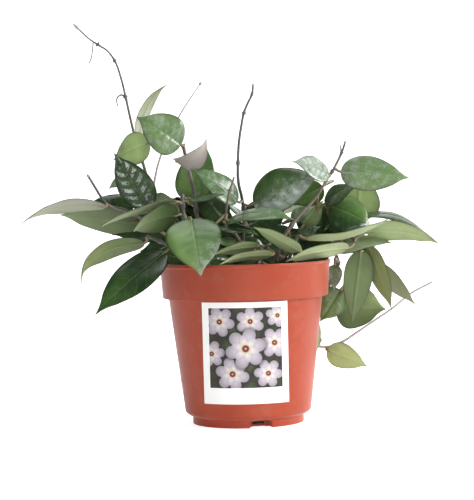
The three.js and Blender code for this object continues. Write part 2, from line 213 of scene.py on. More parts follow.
def new_group(name, inputs, outputs):
    """A shader node group with named inputs and outputs, and its input and output nodes."""
    group = bpy.data.node_groups.new(name, "ShaderNodeTree")
    for socket, kind, value in inputs:
        made = group.interface.new_socket(name=socket, in_out="INPUT", socket_type="NodeSocket" + kind)
        made.default_value = value
    for socket, kind in outputs:
        group.interface.new_socket(name=socket, in_out="OUTPUT", socket_type="NodeSocket" + kind)
    return group, group.nodes.new("NodeGroupInput").outputs, group.nodes.new("NodeGroupOutput").inputs


def new_material(name):
    """A material with one Principled shader, and its node tree."""
    material = bpy.data.materials.new(name)
    material.use_nodes = True
    tree = material.node_tree
    tree.nodes.clear()
    shader = tree.nodes.new("ShaderNodeBsdfPrincipled")
    output = tree.nodes.new("ShaderNodeOutputMaterial")
    tree.links.new(shader.outputs[0], output.inputs["Surface"])
    return material, tree, shader


def set_bump(tree, shader, height, strength, distance):
    """Raises and sinks the material's skin by a pattern."""
    bump = add_node(tree, "ShaderNodeBump", {"Height": height, "Strength": strength, "Distance": distance})
    tree.links.new(bump.outputs[0], shader.inputs["Normal"])


# Uneven tone and a fine skin, as on anything moulded, printed or grown.
mottle, mottle_in, mottle_out = new_group(
    "mottle",
    [("Cloud Scale", "Float", 60.0), ("Grain Scale", "Float", 1500.0), ("Amount", "Float", 0.1)],
    [("Tone", "Float"), ("Grain", "Float")],
)
mottle_place = object_place(mottle)
mottle_cloud = noise(mottle, mottle_place, mottle_in["Cloud Scale"], 4.0, 0.6)
mottle_grain = noise(mottle, mottle_place, mottle_in["Grain Scale"], 2.0)
mottle_swing = maths(mottle, "MULTIPLY", maths(mottle, "SUBTRACT", mottle_cloud, 0.5), mottle_in["Amount"])
mottle.links.new(maths(mottle, "MULTIPLY_ADD", mottle_swing, 2.0, 0.5), mottle_out["Tone"])
mottle.links.new(mottle_grain, mottle_out["Grain"])


def add_mottle(tree, cloud_scale, grain_scale, amount):
    """Puts the mottle group in a material. Its outputs are the tone and the grain."""
    inputs = {"Cloud Scale": cloud_scale, "Grain Scale": grain_scale, "Amount": amount}
    made = tree.nodes.new("ShaderNodeGroup")
    made.node_tree = mottle
    for socket, value in inputs.items():
        made.inputs[socket].default_value = value
    return made.outputs


terracotta_plastic, tree, shader = new_material("terracotta_plastic")
tone, grain = add_mottle(tree, 45.0, 1400.0, 0.8)
place = object_place(tree)
stretched = add_node(tree, "ShaderNodeMapping", {"Vector": place, "Scale": (1.0, 1.0, 0.06)}).outputs[0]
drag_marks = noise(tree, stretched, 420.0, 3.0)
dust = ramp(tree, noise(tree, place, 130.0, 8.0), (0.52, (0, 0, 0, 1)), (0.75, (1, 1, 1, 1)))
plastic_color = mix_colors(tree, tone, TERRACOTTA, TERRACOTTA_PALE)
dusty = mix_colors(tree, maths(tree, "MULTIPLY", dust, 0.12), plastic_color, DUST_COLOR)
tree.links.new(dusty, shader.inputs["Base Color"])
shader.inputs["Sheen Weight"].default_value = 0.45
shader.inputs["Sheen Roughness"].default_value = 0.3
shader.inputs["Sheen Tint"].default_value = BLOOM_COLOR
rough = maths(tree, "MULTIPLY_ADD", drag_marks, 0.10, 0.36)
tree.links.new(maths(tree, "MULTIPLY_ADD", dust, 0.12, rough), shader.inputs["Roughness"])
shader.inputs["Specular IOR Level"].default_value = 0.42
skin = maths(tree, "MULTIPLY_ADD", drag_marks, 0.5, grain)
set_bump(tree, shader, skin, 0.18, 0.12 * MM)

WALL_FOOT = FOOT_HEIGHT + FOOT_RISE
inner_outline = [
    (0, FLOOR), (FOOT_RADIUS - WALL, FLOOR), (FOOT_RADIUS - WALL, FOOT_HEIGHT + 1.7 * MM),
    (wall_radius(WALL_FOOT) - WALL, WALL_FOOT + 1 * MM), (SHOULDER_RADIUS - WALL, BAND_BOTTOM),
    (BAND_RADIUS - WALL, BAND_BOTTOM + 4 * MM), (RIM_RADIUS - 2 * WALL, POT_HEIGHT - WALL),
    (RIM_RADIUS - 2 * MM, POT_HEIGHT + 1 * MM), (0, POT_HEIGHT + 1 * MM),
]
# The outer outline starts at the little dimple where the mould was filled, in the middle of the floor.
outer_outline = [
    (0, GATE_DEPTH), (GATE_RADIUS, GATE_DEPTH), (GATE_RADIUS + 0.6 * MM, 0), (FOOT_RADIUS, 0),
    (FOOT_RADIUS, FOOT_HEIGHT), (FOOT_RADIUS + 2 * MM, FOOT_HEIGHT + 0.5 * MM),
    (BODY_FOOT_RADIUS - 0.6 * MM, FOOT_HEIGHT + 2 * MM), (wall_radius(WALL_FOOT), WALL_FOOT),
    (SHOULDER_RADIUS, BAND_BOTTOM), (BAND_RADIUS, BAND_BOTTOM),
    (RIM_RADIUS - LIP_STEP, POT_HEIGHT - LIP_HEIGHT), (RIM_RADIUS, POT_HEIGHT - LIP_HEIGHT + LIP_STEP),
    (RIM_RADIUS, POT_HEIGHT), (0, POT_HEIGHT),
]
pot = finished("nursery_pot", spun(outer_outline, EDGE_ROUNDING), [])
cavity = finished("cavity", spun(inner_outline, EDGE_ROUNDING), [])
pocket_walls = notch_tool("pocket_walls", POCKET_WIDTH + 2 * WALL, FOOT_HEIGHT + WALL, POCKET_DEPTH + WALL)
cut(cavity, pocket_walls)
cut(pot, notch_tool("pockets", POCKET_WIDTH, FOOT_HEIGHT, POCKET_DEPTH))
cut(pot, cavity)
cut(pot, notch_tool("drain_slots", SLOT_WIDTH, SLOT_HEIGHT, SLOT_DEPTH))
for polygon in pot.data.polygons:
    polygon.use_smooth = True
pot.data.set_sharp_from_angle(angle=math.radians(CRISP_TURN))
pot.data.materials.append(terracotta_plastic)
edges = pot.modifiers.new("moulded_edges", "BEVEL")
edges.width = MOULDED_EDGE
edges.segments = 2
edges.limit_method = "ANGLE"
edges.angle_limit = math.radians(MOULDED_TURN)
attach(pot, "root")
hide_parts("pot")


# ---- Soil ---------------------------------------------------------------------------------------
# A damp mix of peat, bark chips and a little perlite, filled in loose and settled by watering to
# just under the band's top, so that its top is crumbly and a little higher around the stems.

SOIL_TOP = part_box("soil")[1].z
CRUMB_FIELD = RIM_RADIUS - 5 * MM
CRUMB_COUNT = 620
CHIP_COUNT = 70
CRUMB_SIZES = (0.5, 1.5)
CHIP_SIZES = (1.5, 2.8)
CRUMB_FLATNESS = 0.75
CHIP_FLATNESS = 0.35
PERLITE_SHARE = 0.06
SOIL_DOME = 1.2 * MM
dice = random.Random(41)

potting_soil, tree, shader = new_material("potting_soil")
place = object_place(tree)
crumbs = noise(tree, place, 260.0, 8.0, 0.7)
damp = noise(tree, place, 45.0, 3.0)
soil_color = ramp(
    tree, crumbs, (0.34, (0.008, 0.005, 0.003, 1)), (0.5, (0.028, 0.017, 0.010, 1)),
    (0.62, (0.075, 0.045, 0.025, 1)), (0.74, (0.16, 0.11, 0.07, 1)),
)
damp_color = mix_colors(tree, damp, soil_color, (0.020, 0.013, 0.008, 1))
tree.links.new(damp_color, shader.inputs["Base Color"])
tree.links.new(maths(tree, "MULTIPLY_ADD", damp, -0.3, 1.05), shader.inputs["Roughness"])
set_bump(tree, shader, crumbs, 0.8, 0.8 * MM)
# The soil's body is the frame's own, with this mix on it.
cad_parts["soil"].data.materials.clear()
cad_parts["soil"].data.materials.append(potting_soil)

perlite, tree, shader = new_material("perlite")
tone, grain = add_mottle(tree, 500.0, 2600.0, 0.5)
perlite_color = mix_colors(tree, tone, (0.42, 0.38, 0.31, 1), (0.70, 0.67, 0.60, 1))
tree.links.new(perlite_color, shader.inputs["Base Color"])
shader.inputs["Roughness"].default_value = 0.95
set_bump(tree, shader, grain, 0.6, 0.3 * MM)

bm = bmesh.new()
for crumb in range(CRUMB_COUNT + CHIP_COUNT):
    is_chip = crumb >= CRUMB_COUNT
    lump = bmesh.ops.create_icosphere(bm, subdivisions=1, radius=1)["verts"]
    size = dice.uniform(*(CHIP_SIZES if is_chip else CRUMB_SIZES)) * MM
    flatness = CHIP_FLATNESS if is_chip else CRUMB_FLATNESS
    bmesh.ops.scale(bm, vec=(size, size * dice.uniform(0.5, 1), size * flatness), verts=lump)
    turn = dice.uniform(0, 2 * math.pi)
    bmesh.ops.rotate(bm, verts=lump, cent=(0, 0, 0), matrix=Matrix.Rotation(turn, 3, "Z"))
    for vertex in lump:
        vertex.co *= dice.uniform(0.8, 1.15)
    radius = CRUMB_FIELD * math.sqrt(dice.random())
    angle = dice.uniform(0, 2 * math.pi)
    height = SOIL_TOP - SOIL_DOME * (radius / CRUMB_FIELD) + dice.uniform(-0.2, 0.8) * MM
    bmesh.ops.translate(bm, vec=(radius * math.cos(angle), radius * math.sin(angle), height), verts=lump)
    if dice.random() < PERLITE_SHARE:
        for face in {face for vertex in lump for face in vertex.link_faces}:
            face.material_index = 1
crumbs_on_top = finished("soil_crumbs", bm, [potting_soil, perlite], SOFT_TURN)
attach(crumbs_on_top, "root")


# ---- Picture card -------------------------------------------------------------------------------
# A printed card of coated board, clipped against the front of the pot and bent to its wall. It has a
# white border, a picture of pale blossoms over dark foliage, and a blank white strip at its foot.

CARD_LOW, CARD_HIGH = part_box("label")
CARD_GAP = 0.35 * MM
CARD_THICKNESS = 0.4 * MM
CARD_COLUMNS = 72
CARD_ROWS = 60
PICTURE_SIDE = 0.075
PICTURE_TOP = 0.945
PICTURE_FOOT = 0.16
PETAL_COLOR = (0.64, 0.58, 0.63, 1)
PETALS = 6
PRINT_SHARPNESS = 400.0
PAINTED_BORDER_GLOW = 0.16

card_board, tree, shader = new_material("card_board")
tone, grain = add_mottle(tree, 80.0, 2200.0, 0.3)
board_back = mix_colors(tree, tone, (0.86, 0.85, 0.84, 1), (0.92, 0.91, 0.90, 1))
tree.links.new(board_back, shader.inputs["Base Color"])
shader.inputs["Roughness"].default_value = 0.5
set_bump(tree, shader, grain, 0.08, 0.1 * MM)

# One printed blossom: rounded petals in two rows, a cream ruff and a dark red eye.
blossom, blossom_in, blossom_out = new_group(
    "printed_blossom",
    [("Place", "Vector", (0, 0, 0)), ("X", "Float", 0.0), ("Y", "Float", 0.0), ("Size", "Float", 0.1),
     ("Turn", "Float", 0.0), ("Ground", "Color", (0, 0, 0, 1))],
    [("Picture", "Color")],
)
apart = add_node(blossom, "ShaderNodeSeparateXYZ", {0: blossom_in["Place"]})
across = maths(blossom, "SUBTRACT", apart.outputs[0], blossom_in["X"])
upward = maths(blossom, "SUBTRACT", apart.outputs[1], blossom_in["Y"])
reach = maths(blossom, "SQRT", maths(
    blossom, "ADD", maths(blossom, "MULTIPLY", across, across), maths(blossom, "MULTIPLY", upward, upward),
))
reach = maths(blossom, "DIVIDE", reach, blossom_in["Size"])
heading = maths(blossom, "ADD", maths(blossom, "ARCTAN2", upward, across), blossom_in["Turn"])
half_turns = maths(blossom, "MULTIPLY", heading, PETALS / 2)
petal_wave = maths(blossom, "ABSOLUTE", maths(blossom, "COSINE", half_turns))
petal_edge = maths(blossom, "MULTIPLY_ADD", maths(blossom, "POWER", petal_wave, 0.45), 0.52, 0.48)
inner_wave = maths(blossom, "ABSOLUTE", maths(blossom, "SINE", half_turns))
inner_edge = maths(blossom, "MULTIPLY_ADD", maths(blossom, "POWER", inner_wave, 0.5), 0.34, 0.34)


def inside(tree, edge, reach, sharpness):
    """1 where reach is less than edge, with a short soft step."""
    return maths(tree, "MULTIPLY_ADD", maths(tree, "SUBTRACT", edge, reach), sharpness, 0.5, clamp=True)


petal = inside(blossom, petal_edge, reach, 26.0)
inner_petal = inside(blossom, inner_edge, reach, 22.0)
ruff = inside(blossom, maths(blossom, "MULTIPLY_ADD", petal_wave, 0.12, 0.24), reach, 24.0)
eye = inside(blossom, 0.18, reach, 20.0)
heart = inside(blossom, 0.05, reach, 30.0)
petal_dip = maths(blossom, "MULTIPLY", maths(blossom, "SUBTRACT", petal_edge, reach), 2.2, clamp=True)
petal_tone = mix_colors(blossom, petal_dip, (0.33, 0.29, 0.35, 1), PETAL_COLOR)
vein_wave = maths(blossom, "SINE", maths(blossom, "MULTIPLY", heading, 36.0))
petal_vein = maths(blossom, "MULTIPLY_ADD", vein_wave, 0.05, 0.06)
petal_tone = mix_colors(blossom, petal_vein, petal_tone, (0.5, 0.38, 0.45, 1))
inner_dip = maths(blossom, "MULTIPLY", maths(blossom, "SUBTRACT", inner_edge, reach), 3.0, clamp=True)
inner_tone = mix_colors(blossom, inner_dip, (0.50, 0.44, 0.52, 1), (0.80, 0.74, 0.76, 1))
under = inside(blossom, petal_edge, maths(blossom, "SUBTRACT", reach, 0.1), 5.0)
under = maths(blossom, "MULTIPLY", under, 0.65)
shaded = mix_colors(blossom, under, blossom_in["Ground"], (0.012, 0.010, 0.008, 1))
drawn = mix_colors(blossom, petal, shaded, petal_tone)
drawn = mix_colors(blossom, inner_petal, drawn, inner_tone)
drawn = mix_colors(blossom, ruff, drawn, (0.72, 0.66, 0.50, 1))
drawn = mix_colors(blossom, eye, drawn, (0.20, 0.018, 0.022, 1))
drawn = mix_colors(blossom, heart, drawn, (0.62, 0.46, 0.38, 1))
blossom.links.new(drawn, blossom_out["Picture"])

printed_picture, tree, shader = new_material("printed_picture")
card_map = add_node(tree, "ShaderNodeUVMap", uv_map="UVMap").outputs[0]
proportion = (CARD_HIGH.z - CARD_LOW.z) / (CARD_HIGH.x - CARD_LOW.x)
flat = add_node(tree, "ShaderNodeMapping", {"Vector": card_map, "Scale": (1, proportion, 1)}).outputs[0]
foliage = add_node(tree, "ShaderNodeTexVoronoi", {"Vector": flat, "Scale": 9.0, "Randomness": 1.0})
leafy = ramp(
    tree, noise(tree, flat, 6.0, 6.0, 0.65),
    (0.36, (0.014, 0.012, 0.008, 1)), (0.5, (0.075, 0.055, 0.03, 1)),
    (0.58, (0.055, 0.14, 0.02, 1)), (0.72, (0.22, 0.17, 0.11, 1)),
)
depth = maths(tree, "MULTIPLY", foliage.outputs[0], 1.3, clamp=True)
picture = mix_colors(tree, depth, leafy, (0.02, 0.022, 0.014, 1))
# Where each blossom sits on the card, across and up, in the card's widths, then its size and its turn.
BLOSSOMS = [
    (0.88, 1.04, 0.14, 0.3), (0.10, 0.60, 0.16, 0.9), (0.20, 0.98, 0.18, 0.2), (0.84, 0.72, 0.18, 1.1),
    (0.34, 0.36, 0.20, 1.3), (0.56, 0.98, 0.17, 0.5), (0.76, 0.36, 0.17, 0.1), (0.50, 0.66, 0.24, 0.8),
]
for x, y, size, turn in BLOSSOMS:
    one = tree.nodes.new("ShaderNodeGroup")
    one.node_tree = blossom
    tree.links.new(flat, one.inputs["Place"])
    tree.links.new(picture, one.inputs["Ground"])
    for socket, value in (("X", x), ("Y", y), ("Size", size), ("Turn", turn)):
        one.inputs[socket].default_value = value
    picture = one.outputs["Picture"]
over = add_node(tree, "ShaderNodeSeparateXYZ", {0: card_map})
in_picture = maths(
    tree, "MULTIPLY", inside(tree, over.outputs[0], PICTURE_SIDE, PRINT_SHARPNESS),
    inside(tree, 1 - PICTURE_SIDE, over.outputs[0], PRINT_SHARPNESS),
)
in_height = maths(
    tree, "MULTIPLY", inside(tree, over.outputs[1], PICTURE_FOOT, PRINT_SHARPNESS),
    inside(tree, PICTURE_TOP, over.outputs[1], PRINT_SHARPNESS),
)
in_picture = maths(tree, "MULTIPLY", in_picture, in_height)
tone, grain = add_mottle(tree, 80.0, 2200.0, 0.3)
board = mix_colors(tree, tone, (0.93, 0.93, 0.92, 1), (0.97, 0.97, 0.96, 1))
tree.links.new(mix_colors(tree, in_picture, board, picture), shader.inputs["Base Color"])
# The white border and foot strip glow a little: a painted glow that makes the board brighter than the
# lamps alone.
tree.links.new(mix_colors(tree, in_picture, board, (0, 0, 0, 1)), shader.inputs["Emission Color"])
shader.inputs["Emission Strength"].default_value = PAINTED_BORDER_GLOW
tree.links.new(maths(tree, "MULTIPLY_ADD", in_picture, -0.12, 0.46), shader.inputs["Roughness"])
set_bump(tree, shader, grain, 0.08, 0.1 * MM)

bm = bmesh.new()
bm.loops.layers.uv.new("UVMap")
bmesh.ops.create_grid(bm, x_segments=CARD_COLUMNS, y_segments=CARD_ROWS, size=1, calc_uvs=True)
for vertex in bm.verts:
    x = CARD_LOW.x + (CARD_HIGH.x - CARD_LOW.x) * (vertex.co.x + 1) / 2
    z = CARD_LOW.z + (CARD_HIGH.z - CARD_LOW.z) * (vertex.co.y + 1) / 2
    vertex.co = (x, -math.sqrt((wall_radius(z) + CARD_GAP + CARD_THICKNESS) ** 2 - x ** 2), z)
bmesh.ops.recalc_face_normals(bm, faces=bm.faces)
if sum(face.normal.y for face in bm.faces) > 0:
    bmesh.ops.reverse_faces(bm, faces=bm.faces)
bmesh.ops.solidify(bm, geom=bm.faces[:], thickness=CARD_THICKNESS)
for face in bm.faces:
    face.material_index = 0 if face.normal.y < -0.5 else 1
card = finished("picture_card", bm, [printed_picture, card_board])
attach(card, "root")
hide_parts("label")


# ---- Vines --------------------------------------------------------------------------------------
# Thin woody stems with a swollen joint wherever leaves grew. They are grey-brown and lined where they
# are old, and pale pink where they are young. Each row is the points that a stem's middle runs through,
# its radius at the root and at the tip, which points are joints, and its age, or its ages at both ends.

VINES = {
    "tall_left_vine": [
        ([(-24, 6, 92), (-27, 7, 108), (-38, 9, 122), (-50, 11, 138), (-60, 13, 156), (-67, 14, 172),
          (-71, 15, 186), (-75, 14, 200), (-78, 12, 214), (-81, 10, 230), (-84, 9, 244), (-88, 7, 256),
          (-93, 5, 263), (-99, 3, 267), (-106, 1, 272), (-111, -1, 277), (-115, -2, 281)],
         1.5, 0.5, [6, 9, 11, 13], 0.75),
        ([(-81, 10, 230), (-84, 10, 232), (-87, 9, 230), (-87, 9, 224)], 0.7, 0.35, [], 0.5),
    ],
    "upright_vine": [
        ([(-20, -6, 92), (-23, -6, 108), (-28, -5, 122), (-31, -4, 136), (-33, -5, 150), (-34, -6, 160),
          (-36, -7, 170), (-38, -7, 181), (-40, -6, 190), (-41, -6, 195)],
         1.5, 1.2, [4, 7, 9], 0.35),
    ],
    "tall_centre_vine": [
        ([(-2, 4, 92), (-2, 3, 108), (-1, 1, 124), (0, -2, 138), (0, -4, 150), (-1, -4, 158),
          (-3, -3, 168), (-3, -2, 182), (-2, 0, 196), (0, 2, 208), (2, 3, 217), (5, 4, 224),
          (8, 4, 230), (9, 4, 237)],
         1.5, 0.7, [4, 7, 10, 12], 0.65),
        ([(-1, 1, 124), (-7, -6, 134), (-12, -15, 145), (-11, -22, 155), (-9, -25, 163),
          (-6, -27, 172)],
         1.1, 0.7, [4], 0.3),
    ],
    "right_vine": [
        ([(20, -6, 92), (21, -10, 106), (23, -17, 118), (27, -21, 129), (33, -21, 138), (41, -19, 147),
          (49, -17, 155), (56, -15, 165), (62, -14, 174), (66, -13, 181), (69, -12, 187),
          (72, -12, 195)],
         1.7, 0.7, [3, 4, 8, 10], (1.35, 0.65)),
        ([(69, -12, 187), (68.5, -12, 190), (68, -12, 193)], 0.7, 0.35, [], 0.3),
    ],
    "left_vine": [
        ([(-26, -8, 92), (-30, -8, 108), (-42, -9, 122), (-56, -10, 134), (-70, -11, 144),
          (-84, -13, 150), (-93, -15, 154), (-98, -17, 160), (-102, -19, 167), (-107, -21, 176)],
         1.5, 0.8, [4, 6], (1.35, 0.6)),
    ],
    "knotty_vine": [
        ([(-20, -18, 92), (-24, -19, 108), (-31, -22, 122), (-37, -24, 136), (-41, -24, 145),
          (-42, -23, 153), (-42, -21, 161)],
         2.1, 1.3, [3, 4, 5], 0.6),
    ],
    "low_left_vine": [
        ([(-28, -26, 92), (-32, -29, 106), (-40, -31, 118), (-49, -31, 125), (-58, -29, 129),
          (-67, -25, 133)],
         1.5, 1, [4], 0.5),
    ],
    "front_vine": [
        ([(4, -22, 92), (6, -26, 106), (10, -33, 117), (15, -38, 124)], 1.5, 1.1, [3], 0.5),
    ],
    "front_right_vine": [
        ([(24, -24, 92), (27, -27, 106), (31, -33, 117), (34, -36, 125), (37, -35, 131)],
         1.5, 1.1, [3], 0.6),
    ],
    "back_right_vine": [
        ([(30, 4, 92), (34, 5, 108), (44, 8, 122), (56, 10, 132), (68, 12, 137), (78, 13, 134),
          (86, 14, 126), (84, 18, 112), (78, 22, 100), (72, 26, 93)],
         1.5, 1, [4, 6, 9], 0.7),
        ([(68, 12, 137), (72, 5, 131), (76, -2, 127), (77, -8, 124)], 1.2, 1, [], 0.6),
    ],
    "trailing_vine": [
        ([(30, 16, 92), (34, 18, 108), (44, 22, 118), (56, 26, 121), (64, 26, 117), (67, 26, 109),
          (63, 29, 99), (58, 33, 88), (52, 38, 76), (48, 41, 64), (47, 42, 55), (51, 40, 49),
          (60, 37, 48), (70, 34, 52), (81, 32, 59), (93, 30, 67), (105, 28, 75), (119, 26, 86),
          (134, 22, 94)],
         1.4, 0.7, [5, 11], (1.1, -0.9)),
    ],
    "back_left_vine": [
        ([(-26, 22, 92), (-30, 24, 108), (-42, 27, 122), (-54, 30, 138), (-62, 33, 152), (-64, 35, 164),
          (-62, 37, 177), (-58, 38, 190), (-51, 39, 204), (-44, 40, 218), (-36, 40, 230),
          (-28, 40, 241)],
         1.4, 0.4, [4], (1.1, -0.9)),
    ],
    "back_vine": [
        ([(4, 26, 92), (5, 28, 108), (2, 34, 122), (-4, 42, 131), (-10, 52, 134), (-14, 61, 128),
          (-15, 67, 116), (-15, 69, 104)],
         1.5, 1, [4, 6], 0.7),
        ([(2, 34, 122), (10, 39, 132), (20, 43, 139)], 1.2, 1, [], 0.6),
    ],
}
# Buds at the ends of growing shoots, by their length, and a dry hair-like root near the tallest tip.
SHOOT_TIPS = {
    "tall_left_vine": 7, "right_vine": 3, "tall_centre_vine": 3, "left_vine": 2.5, "back_left_vine": 3,
}
HAIR = [
    (-102.5, 2, 269.8), (-102.4, 1, 267), (-102.8, 0, 263.5), (-103.2, -1, 260), (-104, -1, 257),
    (-105.4, -1, 254),
]
HAIR_RADIUS = 0.42 * MM
HAIR_STEPS = 16
HAIR_SIDES = 6
HAIR_AGE = 0.22
BUD_AGE = 0.5
TIP_AGE = 0.06
TIP_RADIUS = 1.1 * MM
STEM_SIDES = 12
STEM_STEP = 1.2 * MM
FEWEST_STEPS = 6
FIRST_SIDE = (0.31, 0.87, 0.38)
JOINT_SWELL = 0.5
JOINT_REACH = 1.5 * MM
BUD_NARROWING = 0.45
BUD_LENGTHS = (1.2, 1.9)
BUD_RADII = (0.6, 0.8)
BUD_SEAT = 0.4
SHOOT_SEAT = 0.8

# Bark: the attribute "age" goes from 0, young and pale, to 1, old and woody.
stem_bark, tree, shader = new_material("stem_bark")
age = attribute(tree, "age")
place = object_place(tree)
patches = noise(tree, place, 170.0, 6.0, 0.65)
strands = add_node(tree, "ShaderNodeMapping", {"Vector": place, "Scale": (1.0, 1.0, 0.18)}).outputs[0]
furrows = noise(tree, strands, 1500.0, 4.0)
patched = maths(tree, "MULTIPLY_ADD", maths(tree, "SUBTRACT", patches, 0.5), 1.3, 1.0)
aged = maths(tree, "MULTIPLY", patched, age)
bark_color = ramp(
    tree, aged,
    (0.0, (0.55, 0.51, 0.54, 1)), (0.2, (0.33, 0.28, 0.25, 1)), (0.42, (0.18, 0.163, 0.146, 1)),
    (0.72, (0.150, 0.140, 0.130, 1)), (0.98, (0.36, 0.29, 0.22, 1)),
)
furrow = maths(tree, "MULTIPLY_ADD", furrows, -1.6, 1.25, clamp=True)
furrow = maths(tree, "MULTIPLY", furrow, maths(tree, "MULTIPLY_ADD", age, 0.8, 0.1, clamp=True))
furrowed = mix_colors(tree, furrow, bark_color, (0.045, 0.038, 0.035, 1))
tree.links.new(furrowed, shader.inputs["Base Color"])
tree.links.new(maths(tree, "MULTIPLY_ADD", patches, 0.35, 0.40), shader.inputs["Roughness"])
set_bump(tree, shader, furrows, 0.5, 0.25 * MM)


def smooth_between(knots, values, at):
    """Points on a smooth curve through values at rising knots."""
    slopes = np.gradient(values, knots, axis=0)
    index = np.clip(np.searchsorted(knots, at, side="right") - 1, 0, len(knots) - 2)
    width = (knots[index + 1] - knots[index])[:, None]
    way = (at - knots[index])[:, None] / width
    start, end = values[index], values[index + 1]
    leaving = slopes[index] * width * (way ** 3 - 2 * way ** 2 + way)
    arriving = slopes[index + 1] * width * (way ** 3 - way ** 2)
    bend = leaving + arriving
    return start * (2 * way ** 3 - 3 * way ** 2 + 1) + end * (3 * way ** 2 - 2 * way ** 3) + bend


def unit(vectors):
    """The same directions, with a length of 1."""
    return vectors / np.linalg.norm(vectors, axis=-1, keepdims=True)


def add_tube(bm, path, radii, sides, material=0):
    """A closed tube along a path, with rounded ends, made from a grid that is wrapped round."""
    along = unit(np.gradient(path, axis=0))
    across = np.zeros_like(path)
    aside = np.array(FIRST_SIDE)
    for row in range(len(path)):
        aside = unit(aside - along[row] * (aside @ along[row]))
        across[row] = aside
    beside = np.cross(along, across)
    path = np.vstack([path[0] - along[0] * radii[0] * 0.5, path, path[-1] + along[-1] * radii[-1] * 0.5])
    radii = np.concatenate([[0], radii, [0]])
    across = np.vstack([across[0], across, across[-1]])
    beside = np.vstack([beside[0], beside, beside[-1]])
    rows = len(path)
    before = set(bm.faces)
    made = bmesh.ops.create_grid(bm, x_segments=rows - 1, y_segments=sides, size=1)["verts"]
    for vertex in made:
        row = round((vertex.co.x + 1) / 2 * (rows - 1))
        turn = round((vertex.co.y + 1) / 2 * sides) % sides * 2 * math.pi / sides
        ring = across[row] * math.cos(turn) + beside[row] * math.sin(turn)
        vertex.co = path[row] + ring * radii[row]
    bmesh.ops.remove_doubles(bm, verts=made, dist=0.001 * MM)
    for face in bm.faces:
        if face not in before:
            face.material_index = material
    return [vertex for vertex in made if vertex.is_valid]


def stem_run(points, root_radius, tip_radius, joints):
    """The middle line of a stem and its radius along the way, swollen at the joints."""
    points = np.array(points, float) * MM
    chords = np.linalg.norm(np.diff(points, axis=0), axis=1)
    knots = np.concatenate([[0], np.cumsum(chords)])
    at = np.linspace(0, knots[-1], max(FEWEST_STEPS, int(knots[-1] / STEM_STEP)))
    path = smooth_between(knots, points, at)
    radii = np.interp(at, [0, knots[-1]], [root_radius * MM, tip_radius * MM])
    for joint in joints:
        near = np.exp(-((at - knots[joint]) / JOINT_REACH) ** 2)
        radii = radii * (1 + JOINT_SWELL * near)
    return path, radii


def add_bud(bm, place, toward, length, radius):
    """A small tapered lump that points along toward, with its foot at place."""
    lump = bmesh.ops.create_icosphere(bm, subdivisions=2, radius=1)["verts"]
    for vertex in lump:
        width = radius * (1 - BUD_NARROWING * max(0, vertex.co.z))
        vertex.co = (vertex.co.x * width, vertex.co.y * width, vertex.co.z * length / 2)
    turn = Vector((0, 0, 1)).rotation_difference(Vector(toward)).to_matrix()
    bmesh.ops.rotate(bm, verts=lump, cent=(0, 0, 0), matrix=turn)
    bmesh.ops.translate(bm, verts=lump, vec=Vector(place) + Vector(toward).normalized() * length / 2)
    return lump


def mark(points, layer, value):
    """Gives the points the layer's value."""
    for vertex in points:
        vertex[layer] = value


def add_stem(bm, age_layer, points, root_radius, tip_radius, joints, ages):
    """Adds one stem, aged along its way, with a young bud on both sides of every joint."""
    path, radii = stem_run(points, root_radius, tip_radius, joints)
    root_age, tip_age = ages if isinstance(ages, tuple) else (ages, ages)
    for vertex in add_tube(bm, path, radii, STEM_SIDES):
        nearest = np.linalg.norm(path - np.array(vertex.co), axis=1).argmin()
        vertex[age_layer] = root_age + (tip_age - root_age) * nearest / (len(path) - 1)
    for joint in joints:
        nearest = np.linalg.norm(path - np.array(points[joint]) * MM, axis=1).argmin()
        along = unit(path[min(nearest + 1, len(path) - 1)] - path[nearest - 1])
        aside = unit(np.cross(along, (dice.uniform(-1, 1), -1, dice.uniform(-0.3, 0.3))))
        for way in (-1, 1):
            toward = aside * way + along * dice.uniform(0.3, 1.2)
            foot = path[nearest] + aside * way * radii[nearest] * BUD_SEAT
            length = dice.uniform(*BUD_LENGTHS) * MM
            bud = add_bud(bm, foot, toward, length, dice.uniform(*BUD_RADII) * MM)
            mark(bud, age_layer, BUD_AGE)


for name, stems in VINES.items():
    bm = bmesh.new()
    age_layer = bm.verts.layers.float.new("age")
    for stem in stems:
        add_stem(bm, age_layer, *stem)
    if name in SHOOT_TIPS:
        points = np.array(stems[0][0], float) * MM
        last_step = unit(points[-1] - points[-2])
        foot = points[-1] - last_step * SHOOT_SEAT * SHOOT_TIPS[name] * MM
        mark(add_bud(bm, foot, last_step, SHOOT_TIPS[name] * MM, TIP_RADIUS), age_layer, TIP_AGE)
    if name == "tall_left_vine":
        hair = np.array(HAIR, float) * MM
        at = np.linspace(0, len(hair) - 1, HAIR_STEPS)
        line = smooth_between(np.arange(len(hair)), hair, at)
        mark(add_tube(bm, line, np.full(len(line), HAIR_RADIUS), HAIR_SIDES), age_layer, HAIR_AGE)
    bmesh.ops.recalc_face_normals(bm, faces=bm.faces)
    vine = finished(name.replace("_vine", "_stem"), bm, [stem_bark], NO_CREASES)
    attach(vine, "root")
    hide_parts(name)


# ---- Leaves -------------------------------------------------------------------------------------
# Thick pointed leaves of waxy flesh, each on a short stout stalk. The midrib lies in a groove above
# and stands out below, and the flesh bulges a little between the side veins. Young leaves are pale or
# yellow-green, older ones dark green with silver flecks, and the undersides are paler and matt.

